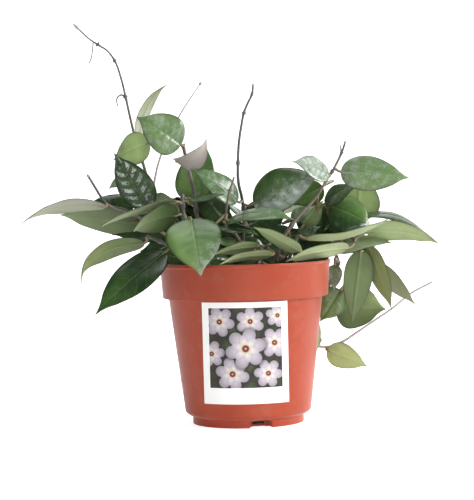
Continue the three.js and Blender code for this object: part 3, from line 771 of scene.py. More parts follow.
BROADER_SIDE = 1.06
BLADE_KNOTS = np.array([0, 0.06, 0.2, 0.4, 0.6, 0.8, 0.94, 1.0])
FIRST_BLADE_RING = 3
WIDEST_RING = 3
RING_SIDES = 8
BASE_FULLNESS = 0.5
TIP_FULLNESS = 0.9
TIP_DRAW = 0.5
TIP_START = 0.78
TIP_REACH = 2.2 * MM
NECK_WIDTH = 0.8
NECK_FADE = 12
CAD_FULLNESS = 0.55
BLADE_ROWS = 52
BLADE_COLUMNS = 28
ROW_CROWDING = 0.075
EDGE_CROWDING = 0.7
SLOPE_STEP = 0.01
BLADE_THICKNESS = 1.05 * MM
THIN_BASE = 0.02
THIN_TIP = 0.12
SMOOTH_EDGE = 0.125
SMOOTH_TIP = 0.05
ROUND_FOLD = 0.02
MARGIN_DROOP = 0.05
WAVES = 1.4
WAVE_SHIFT = 0.37
RIB_WIDTH = 0.9 * MM
GROOVE_DEPTH = 0.38 * MM
RIB_DEPTH = 0.55 * MM
RIB_START = 0.03
UNDER_QUILT = 0.5
STALK_RADIUS = 0.95 * MM
STALK_SIDES = 10
STALK_ROWS = 22
STALK_RUN_IN = (0.03, 0.1, 0.2)
STALK_TAPER = (1.25, 0.9, 1.0, 0.25)
STALK_SINK = 0.45 * MM
VEIN_SLANT = 0.17
VEIN_COUNT = 7
VEIN_CURVE = 1.5
BULGE_FLATNESS = 0.35
HOOK_START = 0.75
ELBOW_PLACE = 0.4
LOWEST_STALK = 4 * MM
WELD = 0.002 * MM
LEAF_FACTS = ("young", "silver_and_sheen", "blush", "painted_glint")


def srgb(red, green, blue):
    """A colour given in the 0 to 255 steps of a screen, as the shader's linear values."""
    steps = [value / 255 for value in (red, green, blue)]
    return (*[step / 12.92 if step < 0.04045 else ((step + 0.055) / 1.055) ** 2.4 for step in steps], 1)


# The lines on a leaf, from its own map. The map's first value runs from 0 at the base to 1 at the tip,
# and its second from 0 to 1 over the width.
leaf_lines, _, lines_out = new_group(
    "leaf_lines", [],
    [("Midrib", "Float"), ("Veins", "Float"), ("Margin", "Float"), ("Cells", "Float"), ("Shade", "Float")],
)
leaf_map = add_node(leaf_lines, "ShaderNodeUVMap", uv_map="UVMap").outputs[0]
leaf_apart = add_node(leaf_lines, "ShaderNodeSeparateXYZ", {0: leaf_map})
side = maths(leaf_lines, "MULTIPLY_ADD", leaf_apart.outputs[1], 2.0, -1.0)
off_middle = maths(leaf_lines, "ABSOLUTE", side)
midrib = maths(leaf_lines, "MULTIPLY_ADD", off_middle, -22.0, 1.0, clamp=True)
slanted = maths(leaf_lines, "MULTIPLY", maths(leaf_lines, "POWER", off_middle, VEIN_CURVE), VEIN_SLANT)
phase = maths(leaf_lines, "SUBTRACT", leaf_apart.outputs[0], slanted)
phase = maths(leaf_lines, "MULTIPLY", phase, VEIN_COUNT)
phase = maths(leaf_lines, "MULTIPLY_ADD", maths(leaf_lines, "GREATER_THAN", side, 0.0), 0.5, phase)
ridges = maths(leaf_lines, "SINE", maths(leaf_lines, "MULTIPLY", phase, math.pi))
crossing = maths(leaf_lines, "ABSOLUTE", ridges)
vein = maths(leaf_lines, "MULTIPLY_ADD", crossing, -6.0, 1.0, clamp=True)
margin = maths(leaf_lines, "MULTIPLY_ADD", off_middle, 11.0, -10.0, clamp=True)
tip = maths(leaf_lines, "MULTIPLY_ADD", leaf_apart.outputs[0], 30.0, -29.0, clamp=True)
margin = maths(leaf_lines, "MAXIMUM", margin, tip)
leaf_lines.links.new(midrib, lines_out["Midrib"])
leaf_lines.links.new(vein, lines_out["Veins"])
leaf_lines.links.new(margin, lines_out["Margin"])
between = maths(leaf_lines, "MULTIPLY_ADD", crossing, 3.5, -1.9, clamp=True)
aside = maths(leaf_lines, "MULTIPLY_ADD", off_middle, 8.0, -1.0, clamp=True)
inland = maths(leaf_lines, "MULTIPLY_ADD", off_middle, -6.0, 4.8, clamp=True)
cells = maths(leaf_lines, "MULTIPLY", between, maths(leaf_lines, "MULTIPLY", aside, inland))
leaf_lines.links.new(cells, lines_out["Cells"])
near_base = maths(leaf_lines, "MULTIPLY_ADD", leaf_apart.outputs[0], -3.2, 0.9, clamp=True)
near_edge = maths(leaf_lines, "MULTIPLY", maths(leaf_lines, "POWER", off_middle, 5.0), 0.8)
leaf_lines.links.new(maths(leaf_lines, "MAXIMUM", near_base, near_edge), lines_out["Shade"])


def leaf_material(name):
    """A leaf skin's material, with the values that its mesh carries and its lines."""
    material, tree, shader = new_material(name)
    facts = {fact: attribute(tree, fact) for fact in LEAF_FACTS}
    lines = tree.nodes.new("ShaderNodeGroup")
    lines.node_tree = leaf_lines
    shader.inputs["Subsurface Weight"].default_value = 0.06
    shader.inputs["Subsurface Radius"].default_value = (0.4, 0.9, 0.15)
    shader.inputs["Subsurface Scale"].default_value = 1.2 * MM
    return material, tree, shader, facts, lines.outputs, object_place(tree)


def tinted(tree, color, mask, share, tint):
    """The colour, turned towards the tint by a share of the mask."""
    return mix_colors(tree, maths(tree, "MULTIPLY", mask, share), color, tint)


# The upper skin: darker with age, with paler veins, silver flecks, painted highlights in the cells between
# the veins, and a dark margin.
leaf_upper, tree, shader, facts, lines, place = leaf_material("leaf_upper")
cloud = noise(tree, place, 90.0, 4.0)
cluster = noise(tree, place, 210.0, 3.0)
fleck = noise(tree, place, 900.0, 4.0, 0.7)
# The tone darkens with age, and on some leaves its change across the blade is a painted shade.
ripeness = maths(tree, "MULTIPLY_ADD", maths(tree, "SUBTRACT", cloud, 0.5), 0.55, facts["young"])
flesh = ramp(
    tree, ripeness, (0.0, srgb(38, 64, 32)), (0.35, srgb(80, 117, 56)), (0.7, srgb(120, 152, 80)),
    (1.0, srgb(178, 192, 142)),
)
flesh = tinted(tree, flesh, facts["blush"], 0.45, srgb(160, 124, 98))
flesh = tinted(tree, flesh, lines["Veins"], 0.16, srgb(150, 170, 105))
flesh = tinted(tree, flesh, lines["Midrib"], 0.38, srgb(150, 166, 108))
fleck_floor = maths(tree, "MULTIPLY_ADD", facts["silver_and_sheen"], -0.45, 0.70)
mixed_fleck = maths(tree, "MULTIPLY_ADD", maths(tree, "SUBTRACT", cluster, 0.5), 0.9, fleck)
flecked = maths(tree, "MULTIPLY", maths(tree, "SUBTRACT", mixed_fleck, fleck_floor), 5.0, clamp=True)
flecked = maths(tree, "MULTIPLY", flecked, maths(tree, "GREATER_THAN", facts["silver_and_sheen"], 0.02))
flecked = maths(tree, "MULTIPLY", flecked, maths(tree, "MULTIPLY_ADD", lines["Midrib"], -0.5, 0.6))
# A grey tint with the silver: partly the leaf's own silvering, partly a painted sheen across some leaves.
flesh = tinted(tree, flesh, facts["silver_and_sheen"], 0.4, srgb(142, 158, 138))
fleck_color = mix_colors(tree, facts["silver_and_sheen"], srgb(146, 162, 138), srgb(188, 198, 192))
flesh = mix_colors(tree, flecked, flesh, fleck_color)
flesh = tinted(tree, flesh, lines["Shade"], 0.45, srgb(30, 48, 26))
# Painted highlights: near-white patches in the cells between the veins stand in for glints on the glossy
# quilted flesh.
painted_glint_mask = maths(tree, "MULTIPLY_ADD", maths(tree, "SUBTRACT", mixed_fleck, 0.5), 4.0, 0.4, clamp=True)
painted_glint_mask = maths(tree, "MULTIPLY", maths(tree, "MULTIPLY", painted_glint_mask, lines["Cells"]), facts["painted_glint"])
flesh = mix_colors(tree, painted_glint_mask, flesh, srgb(224, 234, 226))
flesh = tinted(tree, flesh, lines["Margin"], 0.85, srgb(54, 46, 40))
tree.links.new(flesh, shader.inputs["Base Color"])
tree.links.new(maths(tree, "MULTIPLY_ADD", facts["young"], 0.16, 0.2), shader.inputs["Roughness"])
shader.inputs["Coat Weight"].default_value = 0.15
shader.inputs["Coat Roughness"].default_value = 0.25
set_bump(tree, shader, maths(tree, "MULTIPLY_ADD", cloud, 2.0, fleck), 0.25, 0.3 * MM)

# The underside: paler and matt, and a dusty pink where it blushes.
leaf_under, tree, shader, facts, lines, place = leaf_material("leaf_under")
cloud = noise(tree, place, 70.0, 5.0)
fine = noise(tree, place, 1300.0, 2.0)
# As above: the tone follows age, and on some leaves a painted shade across the blade.
ripeness = maths(tree, "MULTIPLY_ADD", maths(tree, "SUBTRACT", cloud, 0.5), 0.5, facts["young"])
flesh = ramp(
    tree, ripeness, (0.0, srgb(66, 86, 48)), (0.4, srgb(104, 128, 74)), (0.7, srgb(138, 160, 100)),
    (1.0, srgb(184, 210, 140)),
)
flesh = mix_colors(tree, facts["blush"], flesh, srgb(200, 190, 184))
# The silver tint below is likewise partly silvering and partly a painted sheen.
flesh = tinted(tree, flesh, facts["silver_and_sheen"], 0.7, srgb(164, 168, 148))
flesh = tinted(tree, flesh, lines["Shade"], 0.4, srgb(58, 70, 44))
flesh = tinted(tree, flesh, lines["Veins"], 0.12, srgb(110, 120, 80))
flesh = tinted(tree, flesh, lines["Midrib"], 0.25, srgb(170, 178, 120))
flesh = tinted(tree, flesh, lines["Margin"], 0.85, srgb(58, 48, 42))
tree.links.new(flesh, shader.inputs["Base Color"])
tree.links.new(maths(tree, "MULTIPLY_ADD", cloud, 0.2, 0.40), shader.inputs["Roughness"])
set_bump(tree, shader, maths(tree, "MULTIPLY_ADD", cloud, 3.0, fine), 0.2, 0.25 * MM)

leaf_stalk, tree, shader = new_material("leaf_stalk")
tone, grain = add_mottle(tree, 160.0, 1800.0, 1.2)
blush = attribute(tree, "blush")
green = mix_colors(tree, tone, srgb(104, 104, 74), srgb(158, 148, 112))
stalk_color = mix_colors(tree, maths(tree, "MULTIPLY_ADD", blush, 0.7, 0.15), green, srgb(176, 128, 104))
tree.links.new(stalk_color, shader.inputs["Base Color"])
shader.inputs["Roughness"].default_value = 0.45
set_bump(tree, shader, grain, 0.4, 0.2 * MM)
LEAF_MATERIALS = [leaf_upper, leaf_under, leaf_stalk]


def blade_spread(way, base, tip):
    """How wide a blade is on the way from its base, 0, to its tip, 1. It gives 1 at the widest place."""
    widest = base / (base + tip)
    return way ** base * (1 - way) ** tip / (widest ** base * (1 - widest) ** tip)


def node_rings(name):
    """A leaf node's points in rings, from where its stalk meets the bark to its tip."""
    bm = bmesh.new()
    bm.from_mesh(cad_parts[name].data)
    bmesh.ops.remove_doubles(bm, verts=bm.verts, dist=0.02 * MM)
    poles = [vertex for vertex in bm.verts if len(vertex.link_edges) == RING_SIDES]
    tip = max(poles, key=lambda pole: sum(edge.calc_length() for edge in pole.link_edges))
    rings = [[tip]]
    seen = {tip}
    while len(seen) < len(bm.verts):
        ring = {edge.other_vert(vertex) for vertex in rings[-1] for edge in vertex.link_edges} - seen
        seen |= ring
        rings.append(list(ring))
    points = [np.array([vertex.co[:] for vertex in ring]) for ring in reversed(rings)]
    bm.free()
    return points


def plan_from_node(name):
    """A leaf's middle line, its sideways directions, its half width, its fold and its stalk's line."""
    rings = node_rings(name)
    centres, rights, halves, rises = [], [], [], []
    for ring in rings[FIRST_BLADE_RING:-1]:
        gaps = np.linalg.norm(ring[:, None] - ring[None], axis=2)
        first, second = np.unravel_index(gaps.argmax(), gaps.shape)
        across = unit(ring[first] - ring[second])
        off = np.abs((ring - ring.mean(axis=0)) @ across)
        middle = ring[np.argsort(off)[:2]].mean(axis=0)
        if np.linalg.norm(ring[first] - middle) < np.linalg.norm(ring[second] - middle):
            first, second = second, first
            across = -across
        centres.append(middle)
        rights.append(across)
        halves.append(gaps.max() / (1 + BROADER_SIDE))
        rises.append((ring[first] + ring[second]) / 2 - middle)
    rights[0] = rights[1]
    tip = rings[-1][0]
    ups = unit(np.cross(np.array(rights), unit(np.gradient(np.array(centres + [tip])[:-1], axis=0))))
    fold = (rises[WIDEST_RING] @ ups[WIDEST_RING]) / halves[WIDEST_RING]
    half = halves[WIDEST_RING] / blade_spread(BLADE_KNOTS[WIDEST_RING], CAD_FULLNESS, 1.0)
    stalk = [rings[0][0], rings[1].mean(axis=0), rings[2].mean(axis=0), centres[0]]
    return np.array(centres + [tip]), np.array(rights + [rights[-1]]), half, fold, np.array(stalk)


def plan_from_row(base, tip, width, face, arch, fold, hook):
    """The same facts for a leaf that is given by its two ends and the way its upper face looks."""
    base, tip, upper = [np.array(values, float) for values in (base, tip, face)]
    base, tip = base * MM, tip * MM
    forward = unit(tip - base)
    upper = unit(upper - forward * (upper @ forward))
    drop = hook * MM * (np.maximum(0, BLADE_KNOTS - HOOK_START) / (1 - HOOK_START)) ** 2
    lift = 4 * arch * MM * BLADE_KNOTS * (1 - BLADE_KNOTS) - drop
    centres = base + np.outer(BLADE_KNOTS, tip - base) + np.outer(lift, upper)
    along = unit(np.gradient(centres, BLADE_KNOTS, axis=0))
    rights = unit(np.cross(along, upper))
    nearest = np.linalg.norm(stem_points - base, axis=1).argmin()
    bark = stem_points[nearest]
    elbow = base - along[0] * ELBOW_PLACE * np.linalg.norm(bark - base)
    return centres, rights, width / 2 * MM, math.tan(math.radians(fold)), np.array([bark, elbow, base])


def field(value, way, side):
    """A value over a leaf: a number, or its level with its change towards the tip and to the right."""
    level, to_tip, to_right = value if isinstance(value, tuple) else (value, 0, 0)
    return np.clip(level + to_tip * way + to_right * side, 0, 1)


def skin_places(plan, grid, upper, swing, quilt, curl, cup, wave):
    """Bends a flat grid to the upper or the lower skin of a blade. It gives each point's way from the
    base to the tip, from 0 to 1, its side, from -1 to 1, its place, and which direction is up there."""
    centres, rights, half, fold, _ = plan
    row = (grid[:, 0] + 1) / 2
    way = np.clip(row - ROW_CROWDING * np.sin(2 * math.pi * row), 0, 1)
    column = np.abs(grid[:, 1])
    crowded = (1 - EDGE_CROWDING) * column + EDGE_CROWDING * column * column * (3 - 2 * column)
    side = np.sign(grid[:, 1]) * crowded
    off = np.abs(side)
    middle = smooth_between(BLADE_KNOTS, centres, way)
    ahead = smooth_between(BLADE_KNOTS, centres, np.clip(way + SLOPE_STEP, 0, 1))
    behind = smooth_between(BLADE_KNOTS, centres, np.clip(way - SLOPE_STEP, 0, 1))
    along = unit(ahead - behind)
    right = smooth_between(BLADE_KNOTS, rights, way)
    right = unit(right - along * (right * along).sum(axis=1)[:, None])
    up = np.cross(right, along)

    # The tip is drawn out and curls, and the base narrows to the stalk.
    tip_part = np.clip((way - TIP_START) / (1 - TIP_START), 0, 1)
    middle = middle + along * (TIP_REACH * tip_part ** 2)[:, None]
    middle = middle - up * (curl * MM * tip_part ** 2)[:, None]
    drawn = 1 - TIP_DRAW * tip_part ** 2 * (3 - 2 * tip_part)
    spread = half * blade_spread(way, BASE_FULLNESS, TIP_FULLNESS) * drawn
    spread = np.sqrt(spread ** 2 + (NECK_WIDTH * STALK_RADIUS * (1 - way) ** NECK_FADE) ** 2)
    sideways = side * spread * np.where(side > 0, BROADER_SIDE, 1)

    # The halves fold up from the midrib, cup, droop a little at the margin and wave.
    lift = fold * spread * (np.sqrt(off ** 2 + ROUND_FOLD) - math.sqrt(ROUND_FOLD))
    lift = lift + cup * half * off ** 2 * 4 * way * (1 - way) - MARGIN_DROOP * spread * off ** 6
    ripple = np.sin(2 * math.pi * (WAVES * way + swing + WAVE_SHIFT * (side > 0)))
    lift = lift + wave * half * ripple * off ** 2 * np.sqrt(np.clip(way * (1 - way) * 4, 0, 1))

    # The flesh bulges between the veins, thins out to the margin, and has a rib along its middle.
    phase = VEIN_COUNT * (way - VEIN_SLANT * off ** VEIN_CURVE) + 0.5 * (side > 0)
    bulge = np.sin(math.pi * phase) ** 2
    bulge = bulge ** BULGE_FLATNESS * (1 - off ** 3) * np.clip(way * (1 - way) * 6, 0, 1)
    thick = BLADE_THICKNESS * np.sqrt(1 - off ** 4) * np.clip(way / THIN_BASE, 0, 1) ** 0.5
    thick = thick * np.clip((1 - way) / THIN_TIP, 0, 1) ** 0.5
    rib = np.exp(-(sideways / RIB_WIDTH) ** 2) * np.sqrt(1 - way) * np.clip(way / RIB_START, 0, 1)
    edge_fade = np.clip((1 - off) / SMOOTH_EDGE, 0, 1) * np.clip((1 - way) / SMOOTH_TIP, 0, 1)
    if upper:
        lift = lift + thick / 2 + (quilt * MM * bulge - GROOVE_DEPTH * rib) * edge_fade
    else:
        lift = lift - thick / 2 + (UNDER_QUILT * quilt * MM * bulge - RIB_DEPTH * rib) * edge_fade
    return way, side, middle + right * sideways[:, None] + up * lift[:, None], up


def stalk_run(plan):
    """The middle line of a leaf's stalk and its radius along the way, from the bark into the blade."""
    centres, rights, _, _, stalk = plan
    up = unit(np.cross(rights[1], centres[2] - centres[1]))
    inward = smooth_between(BLADE_KNOTS, centres, np.array(STALK_RUN_IN)) - up * STALK_SINK
    path = np.vstack([stalk, inward])
    steps = np.linalg.norm(np.diff(path, axis=0), axis=1)
    keep = np.concatenate([[True], steps > 0.05 * MM])
    path = path[keep]
    knots = np.concatenate([[0], np.cumsum(np.linalg.norm(np.diff(path, axis=0), axis=1))])
    at = np.linspace(0, knots[-1], STALK_ROWS)
    blade_start = knots[-1 - len(inward)]
    places = [0, blade_start * ELBOW_PLACE, blade_start, knots[-1]]
    return smooth_between(knots, path, at), np.interp(at, places, STALK_TAPER) * STALK_RADIUS


def add_leaf(
    bm, plan, young=0.35, silver_and_sheen=0.0, blush=0.0, painted_glint=0.0, quilt=0.12, curl=1.2, cup=0.0, wave=0.05,
    seed=0,
):
    """Adds one closed leaf: an upper and a lower skin that meet at the margin, and its stalk."""
    floats = bm.verts.layers.float
    layers = {fact: floats.get(fact) or floats.new(fact) for fact in LEAF_FACTS}
    facts = {"young": young, "silver_and_sheen": silver_and_sheen, "blush": blush, "painted_glint": painted_glint}
    uv_layer = bm.loops.layers.uv["UVMap"]
    swing = random.Random(seed).uniform(0, 1)
    skins = []
    for upper in (True, False):
        old = set(bm.faces)
        made = bmesh.ops.create_grid(bm, x_segments=BLADE_ROWS, y_segments=BLADE_COLUMNS, size=1)["verts"]
        grid = np.array([vertex.co[:2] for vertex in made])
        way, side, places, up = skin_places(plan, grid, upper, swing, quilt, curl, cup, wave)
        values = {fact: field(value, way, side) for fact, value in facts.items()}
        leaf_map = {}
        for index, vertex in enumerate(made):
            vertex.co = places[index]
            leaf_map[vertex] = (way[index], (side[index] + 1) / 2)
            for fact, layer in layers.items():
                vertex[layer] = values[fact][index]
        fresh = [face for face in bm.faces if face not in old]
        for face in fresh:
            face.material_index = 0 if upper else 1
            for loop in face.loops:
                loop[uv_layer].uv = leaf_map[loop.vert]
            face.normal_update()
        facing = sum(face.normal.dot(Vector(up[0])) * face.calc_area() for face in fresh)
        if (facing > 0) != upper:
            bmesh.ops.reverse_faces(bm, faces=fresh)
        skins += made
    bmesh.ops.remove_doubles(bm, verts=skins, dist=WELD)
    line, radii = stalk_run(plan)
    mark(add_tube(bm, line, radii, STALK_SIDES, 2), layers["blush"], float(field(blush, 0, 0)))


stem_points = []
for stems in VINES.values():
    for points, *_ in stems:
        path = stem_run(points, 1, 1, [])[0]
        stem_points += [place for place in path if place[2] > SOIL_TOP + LOWEST_STALK]
stem_points = np.array(stem_points)

# How each leaf looks. A field is its level, its change towards the tip and its change to the right.
# On some leaves these changes paint the shade and the sheen that fall across the blade.
LEAF_LOOKS = {
    "tall_left_leaf_1": dict(young=0.82),
    "tall_left_leaf_2": dict(young=0.72, silver_and_sheen=0.75, blush=0.3),
    "upright_leaf_1": dict(young=(0.5, 0, -0.1), silver_and_sheen=(0, 0.25, 0.05)),
    "upright_leaf_2": dict(young=0.54, silver_and_sheen=0.5, quilt=0.35),
    "upright_leaf_3": dict(young=0.6, silver_and_sheen=0.1, blush=1.0, curl=-3, cup=-0.6),
    "tall_centre_leaf_1": dict(young=0.34, silver_and_sheen=0.45),
    "tall_centre_leaf_2": dict(
        young=(0.32, 0.1, 0.1), silver_and_sheen=(0.5, 0.2, 0.8), painted_glint=(0.2, 0.2, 0.6), quilt=0.4,
    ),
    "tall_centre_leaf_3": dict(young=0.38, silver_and_sheen=(0.36, 0, -0.15)),
    "right_leaf_1": dict(young=0.45, silver_and_sheen=1.0, painted_glint=0.6, quilt=0.3),
    "right_leaf_2": dict(young=(0.68, -0.15, 0), silver_and_sheen=(0.7, -0.25, 0)),
    "left_leaf_1": dict(young=(0.95, 0, 0.1), silver_and_sheen=0.5, blush=(0.6, 0, -0.25), curl=-4),
    "left_leaf_2": dict(young=(0.2, 0.5, 0.2), silver_and_sheen=(0.1, 0.45, 0)),
    "left_leaf_3": dict(young=0.12, silver_and_sheen=(0.3, -0.3, 0), painted_glint=1.0, quilt=0.9),
    "knotty_leaf_1": dict(young=0.75, silver_and_sheen=0.6, blush=0.1),
    "knotty_leaf_2": dict(young=(-0.1, 0.75, 0), silver_and_sheen=(-0.3, 1.0, 0)),
    "knotty_leaf_3": dict(young=(0.42, 0.12, 0.12), silver_and_sheen=(-0.3, 0.95, -0.3), blush=(-1.6, 2.2, 0)),
    "knotty_leaf_4": dict(young=0.2),
    "knotty_leaf_5": dict(young=0.75),
    "low_left_leaf_1": dict(young=(0.4, 0.4, 0), silver_and_sheen=(0.05, 0, 0.2), curl=3),
    "low_left_leaf_2": dict(young=(-0.2, 0.5, 0), quilt=0.05),
    "front_leaf_1": dict(young=1.0, silver_and_sheen=0.5, blush=0.1),
    "front_leaf_2": dict(young=0.95, silver_and_sheen=0.5, blush=0.1),
    "front_right_leaf_1": dict(young=0.8, silver_and_sheen=0.5),
    "front_right_leaf_2": dict(young=0.95, silver_and_sheen=0.4, blush=0.1),
    "back_right_leaf_1": dict(young=(0.15, 0.1, -0.4), quilt=0.04),
    "back_right_leaf_2": dict(young=0.1, silver_and_sheen=0.1),
    "back_right_leaf_3": dict(young=0.7),
    "back_right_leaf_4": dict(young=0.85, silver_and_sheen=0.3),
    "back_right_leaf_5": dict(young=0.95, silver_and_sheen=0.55, blush=0.1),
    "back_right_leaf_6": dict(young=0.3, silver_and_sheen=0.1),
    "back_right_leaf_7": dict(young=0.68, silver_and_sheen=0.15),
    "back_right_leaf_8": dict(young=0.6, silver_and_sheen=0.8),
    "back_right_leaf_9": dict(young=(0.3, 0.3, 0.25)),
    "back_right_leaf_10": dict(young=0.5),
    "trailing_leaf_1": dict(young=0.9),
    "trailing_leaf_2": dict(young=0.95),
}
OTHER_AGES = (0.3, 0.5, 0.7)
for seed, name in enumerate(sorted(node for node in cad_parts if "_leaf_" in node)):
    bm = bmesh.new()
    bm.loops.layers.uv.new("UVMap")
    looks = LEAF_LOOKS.get(name, {"young": OTHER_AGES[seed % len(OTHER_AGES)]})
    add_leaf(bm, plan_from_node(name), seed=seed, **looks)
    leaf = finished(name.replace("_leaf_", "_blade_"), bm, LEAF_MATERIALS, SOFT_TURN)
    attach(leaf, "root")
    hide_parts(name)


# ---- Leaves inside the crown --------------------------------------------------------------------
# More leaves of the same kind fill the middle of the plant, mostly old and dark ones that show only in
# part between the others. A row is where the blade starts, where its tip ends, its width, the way its
# upper face looks, its arch, its fold, its hook, and how young and how silvery it is.

CROWN_SEED = 100
CROWN_LEAVES = [
    # Left of the middle.
    ((-78, 8, 150), (-109, 14, 156), 20, (0, -8, 5), 2, 4, 0, 0.05, 0),
    ((-82, 6, 173), (-94, 8, 167), 8, (0, -8, 5), 1, 0, 0, 0.5, 0.8),
    ((-50, 2, 140), (-92, 6, 134), 22, (0, -9, 3), 2, 4, 0, 0.05, 0),
    ((-38, -8, 115), (-64, -13, 120), 20, (0, -8, 5), 1, 4, 0, 0.1, 0),
    ((-14, -2, 141), (-30, 8, 163), 20, (-2, -9, 3), 1, 4, 0, 0.1, 0.1),
    ((-10, 2, 134), (-36, 8, 150), 24, (-1, -9, 3), 1, 4, 0, 0.05, 0),
    ((-10, 6, 120), (-38, 2, 132), 24, (0, -9, 3), 1, 4, 0, 0, 0),
    ((-6, 0, 112), (-30, -10, 116), 20, (0, -8, 5), 1, 4, 0, 0.05, 0),
    ((-22, 12, 128), (8, 8, 134), 24, (0, -9, 3), 1, 4, 0, 0.05, 0),
    ((-24, 8, 136), (-52, 16, 158), 26, (0, -9, 3), 1, 4, 0, 0, 0),
    ((-36, -2, 124), (-72, 0, 122), 24, (0, -9, 3), 1, 4, 0, 0.05, 0),
    # The middle.
    ((2, 10, 136), (30, 14, 152), 28, (0, -9, 3), 1, 4, 0, 0.05, 0),
    ((8, 6, 118), (38, 8, 134), 28, (1, -9, 3), 1, 4, 0, 0, 0.1),
    ((12, 2, 112), (-12, 0, 128), 24, (0, -9, 3), 1, 4, 0, 0.1, 0),
    ((-16, -28, 137), (9, -36, 133), 15, (0, -4, 9), 2, 4, 0, 0.15, 0),
    ((-5, -30, 127), (-19, -35, 128), 9, (0, -7, 6), 0, 4, 0, 0.4, 0.4),
    # Right of the middle.
    ((56, 4, 164), (34, 2, 152), 18, (0, -9, 3), 1, 4, 0, 0.45, 0),
    ((57, -4, 152), (79, -10, 164), 20, (-2, -6, 8), 2, 6, 0, 0.15, 0.1),
    ((33, -6, 142), (48, -10, 150), 12, (0, -7, 6), 0, 4, 0, 0.4, 0.7),
    ((42, 2, 137), (55, 0, 153), 14, (0, -9, 2), 0, 4, 0, 0.85, 0),
    ((38, -12, 129), (51, -16, 136), 11, (0, -7, 6), 0, 4, 0, 0.1, 0.5),
    ((30, -8, 120), (37, -12, 131), 12, (0, -9, 3), 0, 4, 0, 0.1, 0),
    ((36, 2, 112), (62, 6, 128), 28, (0, -9, 3), 1, 4, 0, 0, 0),
    ((40, 10, 132), (66, 16, 148), 28, (0, -9, 3), 1, 4, 0, 0.05, 0),
    ((58, 8, 134), (84, 10, 150), 26, (0, -9, 3), 1, 4, 0, 0.05, 0),
    ((62, 16, 125), (92, 20, 121), 16, (1, -8, 4), 1, 4, 0, 0.2, 0),
    ((62, 0, 119), (103, 3, 124), 19, (0, -5, 8), 4, 0, 0, 0.9, 0.5),
    ((64, 16, 108), (63, 15, 91), 11, (0, -9, 1), 0, 4, 0, 0.5, 0.6),
    ((46, 37, 70), (49, 35, 42), 14, (1, -9, 1), 0, 4, 0, 0.95, 0.5),
    # The back and the top.
    ((-20, 24, 128), (-52, 30, 118), 24, (-2, 5, 8), 3, 4, 0, 0.3, 0.2),
    ((-6, 30, 120), (-34, 48, 119), 24, (-1, 6, 7), 3, 4, 0, 0.15, 0),
    ((10, 30, 120), (30, 54, 121), 24, (1, 6, 7), 3, 4, 0, 0.4, 0.3),
    ((30, 24, 124), (56, 46, 126), 26, (2, 5, 8), 3, 4, 0, 0.1, 0.2),
    ((44, 22, 128), (78, 44, 118), 24, (3, 5, 7), 3, 4, 0, 0.35, 0),
    ((-34, 20, 134), (-66, 18, 128), 24, (-3, 3, 8), 3, 4, 0, 0.1, 0.1),
    ((0, 12, 142), (-20, 30, 156), 24, (-2, 4, 8), 3, 4, 0, 0.25, 0.3),
    ((12, 16, 140), (34, 34, 150), 24, (1, 4, 9), 3, 4, 0, 0.15, 0),
    ((-28, 8, 146), (-50, 22, 158), 24, (-2, 3, 9), 3, 4, 0, 0.3, 0),
    ((48, 24, 140), (64, 48, 142), 24, (1, 4, 9), 3, 4, 0, 0.2, 0.3),
]
for number, (*shape, young, silver_and_sheen) in enumerate(CROWN_LEAVES, 1):
    bm = bmesh.new()
    bm.loops.layers.uv.new("UVMap")
    add_leaf(bm, plan_from_row(*shape), young=young, silver_and_sheen=silver_and_sheen, seed=CROWN_SEED + number)
    leaf = finished(f"crown_blade_{number}", bm, LEAF_MATERIALS, SOFT_TURN)
    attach(leaf, "root")


# ---- Room, light and camera ---------------------------------------------------------------------
# A white paper sweep under and behind the plant, with soft lights from the right, from above and from
# the front. The paper's back is see-through, so that it doesn't hide the plant from behind.

ROOM_WHITE = (0.86, 0.86, 0.86, 1)
ROOM_WHITE_PALE = (0.88, 0.88, 0.88, 1)
ROOM_GLOW = 0.22
ROOM_GLOW_SEEN = 0.8
AIR_LIGHT = 0.07
ROOM_LENGTH = 6.0
ROOM_CURVE = 0.5
ROOM_CURVE_STEPS = 12
BACKDROP_PLACE = 1.2
PLANT_MIDDLE = (0, 0, 0.12)
CAMERA_PLACE = (-0.0052, -1.3, 0.168)
CAMERA_AIM = (-0.0052, 0, 0.1209)
CAMERA_ROLL = math.radians(1.4)
LENS = 133.4
SENSOR = 36.0

room_paint, tree, shader = new_material("room_paint")
tone, grain = add_mottle(tree, 0.8, 60.0, 0.05)
tree.links.new(mix_colors(tree, tone, ROOM_WHITE, ROOM_WHITE_PALE), shader.inputs["Base Color"])
shader.inputs["Roughness"].default_value = 0.9
shader.inputs["Emission Color"].default_value = (1, 1, 1, 1)
seen = add_node(tree, "ShaderNodeLightPath").outputs["Is Camera Ray"]
glow = maths(tree, "MULTIPLY_ADD", seen, ROOM_GLOW_SEEN - ROOM_GLOW, ROOM_GLOW)
tree.links.new(glow, shader.inputs["Emission Strength"])
see_through = add_node(tree, "ShaderNodeMixShader")
tree.links.new(add_node(tree, "ShaderNodeNewGeometry").outputs["Backfacing"], see_through.inputs[0])
tree.links.new(shader.outputs[0], see_through.inputs[1])
tree.links.new(add_node(tree, "ShaderNodeBsdfTransparent").outputs[0], see_through.inputs[2])
tree.links.new(see_through.outputs[0], tree.nodes["Material Output"].inputs["Surface"])

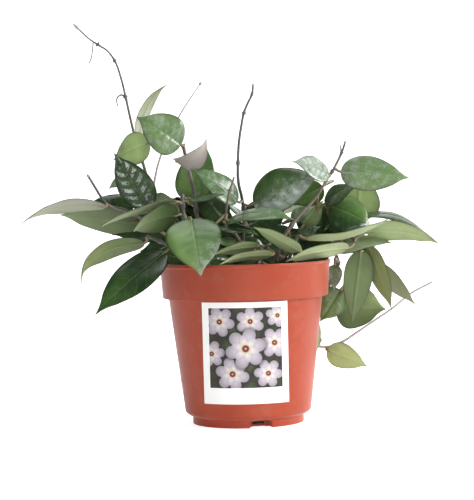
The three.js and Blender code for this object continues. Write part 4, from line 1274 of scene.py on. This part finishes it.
bm = bmesh.new()
profile = [(-ROOM_LENGTH / 2, 0), (BACKDROP_PLACE - ROOM_CURVE, 0)]
for step in range(1, ROOM_CURVE_STEPS + 1):
    turn = math.pi / 2 * step / ROOM_CURVE_STEPS
    y = BACKDROP_PLACE - ROOM_CURVE + ROOM_CURVE * math.sin(turn)
    profile.append((y, ROOM_CURVE - ROOM_CURVE * math.cos(turn)))
profile.append((BACKDROP_PLACE, ROOM_LENGTH / 2))
left = [bm.verts.new((-ROOM_LENGTH / 2, y, z)) for y, z in profile]
right = [bm.verts.new((ROOM_LENGTH / 2, y, z)) for y, z in profile]
for step in range(len(profile) - 1):
    bm.faces.new((left[step], right[step], right[step + 1], left[step + 1]))
room = finished("paper_sweep", bm, [room_paint], NO_CREASES)


def add_light(name, place, size, power, aim=PLANT_MIDDLE, spread=math.pi):
    """A square soft light that looks at the middle of the plant or at another place."""
    light = bpy.data.lights.new(name, "AREA")
    light.shape = "SQUARE"
    light.size = size
    light.energy = power
    light.spread = spread
    lamp = bpy.data.objects.new(name, light)
    lamp.location = place
    lamp.rotation_euler = (Vector(aim) - Vector(place)).to_track_quat("-Z", "Y").to_euler()
    bpy.context.scene.collection.objects.link(lamp)


add_light("key", (1.25, -0.55, 0.65), 0.5, 18)
add_light("side", (1.1, 0.75, 0.45), 0.7, 13)
add_light("top", (-0.1, -0.1, 1.4), 0.8, 6)
add_light("leaf_glint", (-0.82, -1.08, 0.42), 0.22, 1.4)
add_light("floor_bounce", (0.0, -0.85, 0.05), 0.2, 0.036, (-0.01, -0.04, 0.0), math.radians(16))

world = bpy.data.worlds.new("studio")
bpy.context.scene.world = world
world.use_nodes = True
world.node_tree.nodes["Background"].inputs["Color"].default_value = (1, 1, 1, 1)
seen = add_node(world.node_tree, "ShaderNodeLightPath").outputs["Is Camera Ray"]
air_light = maths(world.node_tree, "MULTIPLY_ADD", seen, 1 - AIR_LIGHT, AIR_LIGHT)
world.node_tree.links.new(air_light, world.node_tree.nodes["Background"].inputs["Strength"])
bpy.context.scene.view_settings.view_transform = "Standard"

camera_data = bpy.data.cameras.new("camera")
camera_data.lens = LENS
camera_data.sensor_width = SENSOR
camera = bpy.data.objects.new("camera", camera_data)
camera.location = CAMERA_PLACE
look = (Vector(CAMERA_AIM) - Vector(CAMERA_PLACE)).to_track_quat("-Z", "Y")
camera.rotation_mode = "QUATERNION"
camera.rotation_quaternion = look @ Quaternion((0, 0, 1), -CAMERA_ROLL)
bpy.context.scene.collection.objects.link(camera)
bpy.context.scene.camera = camera
